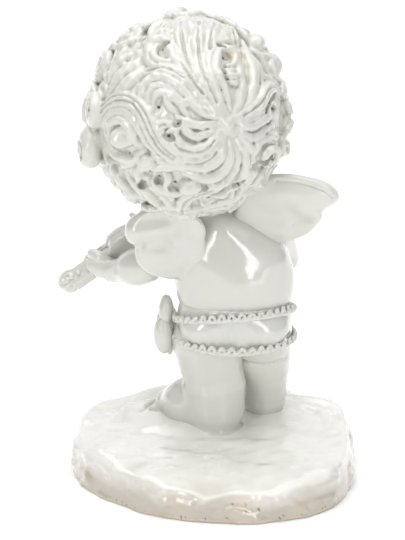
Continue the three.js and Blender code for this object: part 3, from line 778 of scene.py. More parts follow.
def left_leg_piece():
    f = Field((-22, -42, 16), (36, 16, 66), 0.6)
    hip, knee, calf, ankle = LEFT_LEG
    f.join(bar(hip, knee + vec(0, 0, 2.5), 14.6, 13.9))
    f.join(bar(calf + vec(0.4, 1.5, 5), calf + vec(-0.8, 0.5, -5.5), 13.0, 11.4), 3.4)
    f.join(egg((2, -19.5, 43.5), (9, 5, 8)), 4)
    f.join(bar(ankle + vec(2, 0, 1), vec(11, -16, 27), 10.5, 10.0), 5)
    f.join(bar(vec(11, -16, 27), vec(18, -23, 24), 9.6, 6.6), 3)
    toes(f, vec(12, -19, 24), vec(22.2, -26.6, 22.2), 2.9)
    smooth_to(f, [ground(f)], 4, 4.5)
    shown("left_leg_limb", f, SKIN, "left_leg")


def right_leg_piece():
    f = Field((-40, -56, 16), (-1, 6, 66), 0.6)
    hip, knee, calf, ankle = RIGHT_LEG
    f.join(bar(hip, vec(-20, -15.5, 50.5), 13.4, 12.4))
    f.join(bar(vec(-21, -18.5, 44), calf, 11.2, 9.8), 2.2)
    f.join(egg((-21, -27.5, 45), (8, 5, 7)), 4)
    f.join(bar(ankle + vec(0, 1, -1), vec(-21.5, -34, 24.5), 9.4, 7.2), 3)
    f.join(bar(vec(-21.5, -34, 24.5), vec(-22, -42, 23.4), 6.8, 5.6), 3)
    toes(f, vec(-21.5, -36, 24), vec(-22, -45.5, 22.4), 2.6)
    ring = [(-21 + 10.6 * math.sin(a), -25 + 10.6 * math.cos(a), 25.6) for a in np.linspace(-1.7, 1.7, 12)]
    groove(f, ring, 0.5, 1.6)
    for x, y, z, r in ((-20, -15.2, 48.5, 12.6), (-20, -13.6, 56, 13.2)):
        crease = [(x + r * math.sin(a), y + r * math.cos(a), z + 1.6 * math.sin(a) ** 2)
                  for a in np.linspace(-1.0, 1.1, 12)]
        groove(f, crease, 0.35, 1.5)
    smooth_to(f, [ground(f)], 3, 3)
    shown("right_leg_limb", f, SKIN, "right_leg")


def smooth_to(f, forms, k, reach):
    """Draws the piece's edge out over its neighbour, so that the glaze runs on without a step."""
    near = f.d.copy()
    f.d = np.full(near.shape, FAR, np.float32)
    f.join_all(forms, 5)
    f.d = np.maximum(soft_min(near, f.d + 0.45, k), near - reach)


# ---- arms and hands ----

def arm_piece(side, places, upper_box, fore_box, split, radii, k):
    """Upper arm and forearm. radii: elbow, top of the forearm, its swell, wrist."""
    shoulder, elbow, wrist = places
    f = Field(*upper_box, 0.6)
    f.join(bar(shoulder, elbow, 9, radii[0]))
    smooth_to(f, torso_forms(), 5, 5)
    shown(side + "_upper_arm_limb", f, SKIN, side + "_upper_arm")
    f = Field(*fore_box, 0.6)
    swell = elbow + (wrist - elbow) * split
    f.join(bar(elbow, swell, radii[1], radii[2])).join(bar(swell, wrist, 6.9, radii[3]), k)
    shown(side + "_forearm_limb", f, SKIN, side + "_forearm")


def arm_pieces():
    arm_piece("left", LEFT_ARM, ((0, -26, 82), (38, 0, 118)), ((16, -34, 72), (52, 2, 100)), 0.3,
              (7.4, 7.3, 6.9, 5.0), 5)
    arm_piece("right", RIGHT_ARM, ((-42, -42, 76), (-8, -2, 118)), ((-40, -56, 70), (-4, -18, 98)), 0.45,
              (7.3, 7.2, 7.0, 4.8), 3)


def left_hand_piece():
    f = Field((34, -44, 70), (62, -16, 98), 0.38)
    wrist = LEFT_ARM[2]
    palm = on_violin(42.5, -0.8, -4.2)
    f.join(bar(wrist, palm, 5.0, 4.5))
    f.join(egg(on_violin(43.2, -1.2, -2.8), (5.8, 4.5, 3.8), VIOLIN), 3.4)
    f.join(bar(palm, on_violin(46, 2.6, -2.4), 3.6, 2.8), 2.4)
    for i, x in enumerate((40.6, 43.1, 45.6, 47.9)):
        bend = curve_on(on_violin, ((x - 0.6, -3.2, -3.6), (x, -4.6, -0.6), (x + 0.2, -4.1, 2.8),
                                    (x + 0.4, -2.4, 4.7), (x + 0.4, -0.5 + 0.25 * i, 4.5)), 12)
        strand(f, bend, np.linspace(2.1, 1.5, 12), 1.3)
        f.join(ball(bend[-1], 1.4), 0.3)
    thumb = curve_on(on_violin, ((40.0, 1.6, -3.8), (41.5, 4.0, -1.6), (43.4, 4.2, 1.2), (44.6, 3.5, 2.7)), 9)
    strand(f, thumb, np.linspace(2.4, 1.6, 9), 1.2)
    shown("left_hand_fingers", f, SKIN, "left_hand")


def right_hand_piece():
    grip = on_bow(50.5, 0, 1.2)
    f = Field(grip - vec(17, 14, 13), grip + vec(14, 20, 16), 0.38)
    wrist = RIGHT_ARM[2]
    palm = wrist + (grip - wrist) * 0.5 + BOW @ vec(0, 0, 1.2)
    f.join(bar(wrist, palm, 4.8, 4.4))
    f.join(egg(palm + (grip - wrist) * 0.12, (4.8, 4.4, 3.4), BOW), 2)
    away = unit((wrist - grip) - ((wrist - grip) @ BOW[:, 0]) * BOW[:, 0])
    rise = np.cross(BOW[:, 0], away)
    rise = rise if rise[2] > 0 else -rise
    for i, x in enumerate((43.6, 46.0, 48.4, 50.6)):
        centre = on_bow(x, 0, 2.4)
        bend = curve([centre + away * 4.6 + rise * 0.6, centre + away * 2.6 + rise * 2.8,
                      centre - away * 0.4 + rise * 2.6, centre - away * 2.2 + rise * 0.6,
                      centre - away * 2.0 - rise * 1.6], 11)
        strand(f, bend, np.linspace(1.7, 1.1, 11), 0.5)
        f.join(bar(palm, centre + away * 4.6 + rise * 0.6, 2.6, 1.8), 1.4)
    thumb = curve([palm - rise * 1.5, on_bow(48.5, 0, 0.6) + away * 3.2 - rise * 1.2,
                   on_bow(46.5, 0, 0.8) + away * 1.2 - rise * 1.4], 8)
    strand(f, thumb, np.linspace(2.0, 1.3, 8), 0.7)
    shown("right_hand_fingers", f, SKIN, "right_hand")


# ---- wings ----

WING_MIDDLE = 112
# A wing: depth and slopes of its middle plane, outline across and up, creases (route, reach, depth)
# and swells (ends, reach, height).
LEFT_WING = {
    "y": 7, "lean": -5, "tip": 15,
    "outline": ((5, 98), (3.6, 108), (4, 114), (10, 121), (20, 123), (29, 120), (35.6, 114.6), (37, 109.5),
                (35.8, 105.2), (33.2, 102.8), (32.8, 98), (31.4, 93.6), (27, 89.8), (18, 87.2), (12.2, 88.8),
                (8.2, 92)),
    "creases": ((((36, 103.4), (32.5, 102.4), (29, 103)), 1.9, 0.8),
                (((28, 104.2), (23, 103.4), (18, 105.2)), 2.2, 0.8),
                (((31, 94), (24, 95), (15, 98)), 2.6, 0.3)),
    "swells": (((32, 110.4), (17, 113), 4.6, 2.9), ((25, 96), (15, 95), 5.5, 1.7),
               ((6, 118), (16, 119), 5, 0.8)),
}
RIGHT_WING = {
    "y": -7, "lean": -6, "tip": 13,
    "outline": ((-8, 110), (-11, 124), (-20, 132), (-30, 134), (-38, 133), (-45, 131), (-49.8, 128),
                (-51.8, 124.6), (-50.6, 121.6), (-45.4, 117.6), (-45, 114.4), (-42.6, 110.2),
                (-38.6, 105.8), (-32, 102.4), (-24, 100.4), (-14, 101)),
    "creases": ((((-47, 120), (-40, 119), (-30, 116), (-20, 113)), 2.4, 0.45),
                (((-26, 131.4), (-36, 130.6), (-45, 127.6), (-49, 124.4)), 0.9, 0.7),
                (((-42, 110.6), (-37, 111.6), (-33, 110.4)), 1.5, 0.5)),
    "swells": (((-45, 125.5), (-26, 124.5), 5, 2.0), ((-29, 108.6), (-29.5, 108), 4.2, 1.9),
               ((-20, 104), (-10, 110), 6, 0.8), ((-36, 118), (-41, 116.6), 3.2, 1.3)),
}


def outline_distance(x, z, corners):
    """Signed distance to a closed outline, negative inside."""
    near = np.full(x.shape, 1e9)
    inside = np.zeros(x.shape, bool)
    for (ax, az), (bx, bz) in zip(corners, np.roll(corners, -1, 0)):
        ex, ez = bx - ax, bz - az
        t = np.clip(((x - ax) * ex + (z - az) * ez) / max(ex * ex + ez * ez, 1e-9), 0, 1)
        near = np.minimum(near, (x - ax - t * ex) ** 2 + (z - az - t * ez) ** 2)
        crosses = (az > z) != (bz > z)
        with np.errstate(divide="ignore", invalid="ignore"):
            at = ax + (z - az) * ex / (ez if ez else 1e-9)
        inside ^= crosses & (x < at)
    return np.where(inside, -1, 1) * np.sqrt(near)


def smooth_loop(points, per_span=5):
    """Smooth closed outline through the given points."""
    p = np.asarray(points, float)
    n = len(p)
    return np.array([between(p[i - 1], p[i], p[(i + 1) % n], p[(i + 2) % n], j / per_span)
                     for i in range(n) for j in range(per_span)])


def wing_piece(name, wing):
    outline = smooth_loop(wing["outline"])
    lo, hi = outline.min(0), outline.max(0)
    f = Field((lo[0] - 5, wing["y"] - 13, lo[1] - 4), (hi[0] + 5, wing["y"] + 13, hi[1] + 4), 0.52)
    x, y, z = (a.astype(np.float32) for a in f.axes)
    px, pz = x[:, None] + 0 * z[None, :], z[None, :] + 0 * x[:, None]
    flat = outline_distance(px, pz, outline)
    lean, tip = math.tan(math.radians(wing["lean"])), math.tan(math.radians(wing["tip"]))
    middle = wing["y"] + px * lean + (pz - WING_MIDDLE) * tip
    middle = middle + 0.7 * waves(px, 0 * px, pz, 19, 6, 24)
    half = 2.6 + 0.4 * waves(px, 0 * px, pz, 13, 6, 4) + 0.1 * waves(px, 0 * px, pz, 5, 6, 14)
    for (ax, az), (bx, bz), reach, amount in wing["swells"]:
        ex, ez = bx - ax, bz - az
        t = np.clip(((px - ax) * ex + (pz - az) * ez) / max(ex * ex + ez * ez, 1e-6), 0, 1)
        away2 = (px - ax - t * ex) ** 2 + (pz - az - t * ez) ** 2
        half = half + amount * np.exp(-away2 / reach ** 2)
    for points, reach, amount in wing["creases"]:
        line = curve([(cx, 0, cz) for cx, cz in points], 60)
        away2 = np.min([(px - p[0]) ** 2 + (pz - p[2]) ** 2 for p in line], 0)
        half = half - amount * np.exp(-away2 / reach ** 2)
    rim = 2.3
    deep = np.abs(y[None, :, None] - middle[:, None, :]) - half[:, None, :] + rim
    over = flat[:, None, :] + rim
    f.d = (np.sqrt(np.maximum(over, 0) ** 2 + np.maximum(deep, 0) ** 2)
           + np.minimum(np.maximum(over, deep), 0) - rim).astype(np.float32)
    smooth_to(f, torso_forms(), 3, 3.5)
    shown(name + "_feathers", f, SKIN, name)


# ---- violin ----

VIOLIN_LENGTH = 38
# Half-width of the violin's body at shares of its length.
VIOLIN_WIDTHS = ((0, 0), (0.02, 4.2), (0.07, 7.6), (0.14, 9.6), (0.24, 10.3), (0.34, 9.6), (0.42, 7.6),
                 (0.46, 6.4), (0.54, 6.1), (0.6, 6.5), (0.66, 7.3), (0.76, 7.8), (0.88, 7), (0.95, 4.9),
                 (0.985, 2.6), (1, 0))


def violin_body_piece():
    corners = [on_violin(x, y, z) for x in (-1, 39) for y in (-11.5, 11.5) for z in (-4.5, 4.8)]
    f = Field(np.min(corners, 0) - 1, np.max(corners, 0) + 1, 0.42)
    t = np.linspace(0, 1, 44)
    t = np.concatenate([[0, 0.008], t[1:-1], [0.995, 1]])
    width = np.interp(t, *zip(*VIOLIN_WIDTHS))
    upper = np.stack([t * VIOLIN_LENGTH, width], 1)
    lower = np.stack([t[::-1][1:-1] * VIOLIN_LENGTH, -width[::-1][1:-1]], 1)
    outline = np.concatenate([upper, lower])
    u = np.arange(-3, 42, 0.25)
    v = np.arange(-14, 14, 0.25)
    flat = outline_distance(u[:, None] + 0 * v[None, :], v[None, :] + 0 * u[:, None], outline)

    def body(x, y, z):
        px, py, pz = into(x, y, z, CHIN_END, VIOLIN)
        gu = np.clip((px - u[0]) / 0.25, 0, len(u) - 1.001)
        gv = np.clip((py - v[0]) / 0.25, 0, len(v) - 1.001)
        i, j = gu.astype(int), gv.astype(int)
        a, b = gu - i, gv - j
        edge = (flat[i, j] * (1 - a) * (1 - b) + flat[i + 1, j] * a * (1 - b)
                + flat[i, j + 1] * (1 - a) * b + flat[i + 1, j + 1] * a * b)
        arch = 0.9 * np.clip(-edge / 5, 0, 1) ** 0.7
        rib = np.maximum(edge + 0.7, np.abs(pz) - 2.3)
        plate = np.maximum(edge, np.abs(np.abs(pz) - 2.2 - 0.5 * arch) - 0.55 - 0.5 * arch)
        return soft_min(rib, plate, 0.3)
    f.join(everywhere(body, f))
    for s in (1, -1):
        hole = curve_on(on_violin, ((14.4, s * 4.4, 3.6), (15.2, s * 5.0, 3.4), (18, s * 4.0, 3.6),
                                    (20.6, s * 3.2, 3.7), (21.2, s * 3.9, 3.6)), 12)
        groove(f, hole, 0.42, 0.2)
        f.pit(hole[0], UP, 0.6, 1.0, 0.2)
        f.pit(hole[-1], UP, 0.5, 1.0, 0.2)
    f.join(egg(on_violin(5.4, 5.2, 3.4), (3.2, 3.6, 1.1), VIOLIN), 0.6)
    shown("violin_body_box", f, WOOD, "violin_body")


def small_piece(name, node_name, forms, step, k, cuts=()):
    lo = np.min([form[1] for form in forms], 0) - 1.2
    hi = np.max([form[2] for form in forms], 0) + 1.2
    f = Field(lo, hi, step)
    f.join_all(forms, k)
    for form in cuts:
        f.cut(form, 0.2)
    shown(name, f, WOOD, node_name)


def violin_fittings():
    small_piece("violin_neck_shaft", "violin_neck", [
        brick(on_violin(43.6, 0, 1.6), (6.2, 1.6, 1.0), VIOLIN, 0.5),
        bar_on(on_violin, (38.2, 0, -0.4), (49, 0, -0.2), 2.6, 2.4)], 0.3, 0.6)
    board = [bar_on(on_violin, (24.8, y, 3.35), (49.4, y * 0.74, 3.35), 0.55, 0.5)
             for y in (-1.6, -0.8, 0, 0.8, 1.6)]
    small_piece("violin_fingerboard_plate", "violin_fingerboard",
                board + [brick(on_violin(49.6, 0, 3.5), (0.4, 1.5, 0.7), VIOLIN, 0.2)], 0.3, 0.8)
    bridge = [brick(on_violin(BRIDGE, 0, 4.3), (0.5, 3.0, 1.1), VIOLIN, 0.3)]
    bridge += [bar_on(on_violin, (BRIDGE, s * 2.8, 3.4), (BRIDGE, s * 2.9, 2.9), 0.6) for s in (-1, 1)]
    arch = bar_on(on_violin, (17, 0, 3.1), (20, 0, 3.1), 0.9)
    small_piece("violin_bridge_plate", "violin_bridge", bridge, 0.22, 0.4, [arch])
    tail = [bar_on(on_violin, (5.4, 0, 3.6), (14.4, s, 4.0), 0.8, 0.75) for s in (-1.5, -0.5, 0.5, 1.5)]
    small_piece("violin_tailpiece_plate", "violin_tailpiece",
                tail + [bar_on(on_violin, (0.4, 0, 1.4), (5.4, 0, 3.6), 0.6, 0.6)], 0.28, 0.9)


def violin_strings():
    """Four strings, from the tailpiece over the bridge to the nut and down into the pegbox."""
    strings = []
    for i in range(4):
        place = i - 1.5
        y = place * 0.75
        strings.append(bar_on(on_violin, (14.2, place * 1.0, 4.5), (BRIDGE, place * 1.25, 5.55), STRING))
        strings.append(bar_on(on_violin, (BRIDGE, place * 1.25, 5.55), (49.6, y, 4.35), STRING))
        strings.append(bar_on(on_violin, (49.6, y, 4.35), (51.6 + i, y * 0.6, 1.4), STRING))
    lo = np.min([s[1] for s in strings], 0) - 1
    hi = np.max([s[2] for s in strings], 0) + 1
    f = Field(lo, hi, 0.24)
    f.join_all(strings, 0)
    shown("violin_strings", f, WOOD)


def violin_scroll():
    """Pegbox and scroll, with the pegs through the pegbox."""
    spiral = []
    for t in np.arange(64) / 63:
        a = math.radians(150 - 700 * t)
        r = 3.8 * (1 - t) ** 0.8 + 0.4
        spiral.append((60.0 + r * math.cos(a), TOP - 3.2 + r * math.sin(a), 2.2 + 1.3 * t))
    forms = [brick(on_violin(53.0, 0, -1.0), (5.6, 2.5, 4.5), VIOLIN, 1.2),
             bar_on(on_violin, (47.6, 0, 0.6), (50.5, 0, -0.4), 2.6, 2.6),
             egg(on_violin(59.6, 0, TOP - 3.4), (4.6, 2.6, 4.6), VIOLIN)]
    for (ax, az, ay), (bx, bz, by) in zip(spiral[:-1], spiral[1:]):
        forms += [bar_on(on_violin, (ax, s * ay * 0.75, az), (bx, s * by * 0.75, bz), 0.85) for s in (1, -1)]
    trough = brick(on_violin(53.2, 0, 3.2), (2.9, 1.2, 1.9), VIOLIN, 0.3)
    small_piece("violin_scroll_head", "violin_scroll", forms, 0.3, 0.3, [trough])
    for i in range(4):
        side = 1 if i % 2 else -1
        x, z = 50.9 + 2 * i, TOP - 4.6
        forms = [bar_on(on_violin, (x, side * 0.8, z), (x, side * 3.2, z), 0.85, 0.9),
                 egg(on_violin(x, side * 3.6, z), (0.95, 1.0, 1.1), VIOLIN)]
        small_piece("violin_peg_%d_turned" % (i + 1), "violin_peg_%d" % (i + 1), forms, 0.22, 0.35)


def bow_pieces():
    arc = curve_on(on_bow, ((0.6, 0, 2.6), (14, 0, 2.1), (30, 0, 2.0), (53.6, 0, 2.5)), 16)
    forms = [bar(a, b, 0.85, 0.9) for a, b in zip(arc[:-1], arc[1:])]
    forms += [bar_on(on_bow, (0.6, 0, 2.6), (1.2, 0, -0.2), 0.9, 0.8), ball(on_bow(53.8, 0, 2.5), 1.1)]
    small_piece("bow_stick_rod", "bow_stick", forms, 0.32, 0.5)
    hair = [brick(on_bow(24.6, 0, 0), (23.2, 0.75, 0.38), BOW, 0.3)]
    ridges = [bar_on(on_bow, (1.6, y, 0.35), (47.8, y, 0.35), 0.16) for y in (-0.5, 0, 0.5)]
    small_piece("bow_hair_band", "bow_hair", hair + ridges, 0.28, 0.15)
    frog = [brick(on_bow(50.6, 0, 0.4), (2.5, 1.1, 1.2), BOW, 0.4),
            bar_on(on_bow, (48.4, 0, -0.2), (53, 0, -0.4), 0.7, 0.8)]
    eyes = [ball(on_bow(50.6, y, 0.3), 0.8) for y in (1.6, -1.6)]
    small_piece("bow_frog_block", "bow_frog", frog, 0.25, 0.4, eyes)


# ---- head and face ----

# Lines of a calm, general child's face. Those of the eye are mirrored.
LASH = ((6.2, -34.6, -6.2), (8.6, -35.6, -7.7), (11.4, -35.3, -8.0), (15.0, -33.0, -6.2))
LID_FOLD = ((6.2, -35.0, -3.4), (9.4, -35.4, -1.3), (13.2, -33.6, -1.6), (16.0, -31.6, -3.6))
BROW = ((5.4, -35.6, 3.0), (10.5, -34.4, 4.6), (16.0, -31.6, 2.2))
UPPER_LIP = ((-5.6, -34.9, -21.2), (-2.2, -36.9, -20.1), (0, -36.9, -20.5), (2.2, -36.9, -20.1),
             (5.6, -34.9, -21.2))
LOWER_LIP = ((-4.6, -35.0, -22.2), (0, -36.5, -23.3), (4.6, -35.0, -22.2))
MOUTH = ((-6.0, -35.4, -21.2), (-2.4, -37.9, -21.6), (0, -38.1, -21.9), (2.4, -37.9, -21.6),
         (6.0, -35.4, -21.2))
UNDER_LIP = ((-3.6, -36.9, -25.8), (0, -37.6, -26.4), (3.6, -36.9, -25.8))


def head_piece():
    f = Field(HEAD - vec(41, 44, 42), HEAD + vec(41, 38, 38), 0.62)
    f.join(ball(HEAD, 36.4)).join(egg(on_head(0, -13, -18), (25, 22.5, 20.5), FACE_TURN), 6)
    for s in (1, -1):
        f.join(egg(on_head(s * 14, -25, -18), (10.5, 9.8, 10), FACE_TURN), 6)
        f.cut(egg(on_head(s * 11, -38.4, -4.8), (6.6, 4.6, 4.2), FACE_TURN), 4)
    f.join(egg(on_head(0, -32, -30), (6.5, 5.2, 4.8), FACE_TURN), 4)
    f.join(bar(on_head(0, -34.6, -4), on_head(0, -37.8, -12), 1.9, 2.4), 3)
    f.join(ball(on_head(0, -38.6, -12.8), 2.8), 1.6)
    for s in (1, -1):
        f.join(ball(on_head(s * 2.6, -36.9, -13.6), 1.8), 1.2)
        f.cut(bar(on_head(s * 1.4, -38.0, -15.9), on_head(s * 1.3, -37.2, -14.4), 0.65), 0.6)
        # Lowered lids over the eyes, with a lash line and a brow.
        f.join(egg(on_head(s * 10.8, -31.2, -5.4), (5.3, 4.6, 4.4), FACE_TURN), 0.8)
        lash = curve_on(on_head, LASH, 12, s)
        groove(f, lash, 0.45, 0.4)
        strand(f, lash + FACE_TURN @ vec(0, -0.1, 0.75), 0.42, 0.5)
        groove(f, curve_on(on_head, LID_FOLD, 12, s), 0.35, 0.6)
        strand(f, curve_on(on_head, BROW, 10, s), np.linspace(0.8, 0.5, 10), 2.2)
        # The iris is an incised ring with a drilled pupil, turned down to the violin.
        eye = on_head(s * 10.5, -31.2, -5.4)
        look = FACE_TURN @ unit((0.08, -1, 0.06))
        side = unit(np.cross(look, UP))
        rise = np.cross(side, look)
        iris = [eye + 4.3 * look + 1.75 * (math.cos(a) * side + math.sin(a) * rise)
                for a in np.linspace(0, 2 * math.pi, 19)]
        groove(f, iris, 0.42, 0.25)
        f.pit(eye + 4.4 * look, look, 0.8, 0.8, 0.25)
        f.cut(ball(on_head(s * 6.4, -35.6, -21.4), 0.8), 1.4)
    strand(f, curve_on(on_head, UPPER_LIP, 14), 0.5 + 0.75 * np.sin(np.linspace(0, math.pi, 14)), 0.7)
    strand(f, curve_on(on_head, LOWER_LIP, 12), 0.5 + 0.95 * np.sin(np.linspace(0, math.pi, 12)), 0.7)
    groove(f, curve_on(on_head, MOUTH, 14), 0.35, 0.3)
    groove(f, [on_head(0, -38.4, -16.8), on_head(0, -38.3, -19.4)], 0.9, 1.2)
    groove(f, curve_on(on_head, UNDER_LIP, 8), 0.7, 2)
    for s in (1, -1):
        ear = FACE_TURN @ turned((0, 0, 1), s * 18)
        f.join(egg(on_head(s * 33.5, -9, -12), (3.4, 5.2, 7), ear), 1.2)
        f.cut(egg(on_head(s * 36.8, -11, -11.4), (1.6, 2.8, 4.2), ear), 1.0)
    shown("head_face", f, SKIN, "head")


# ---- hair ----

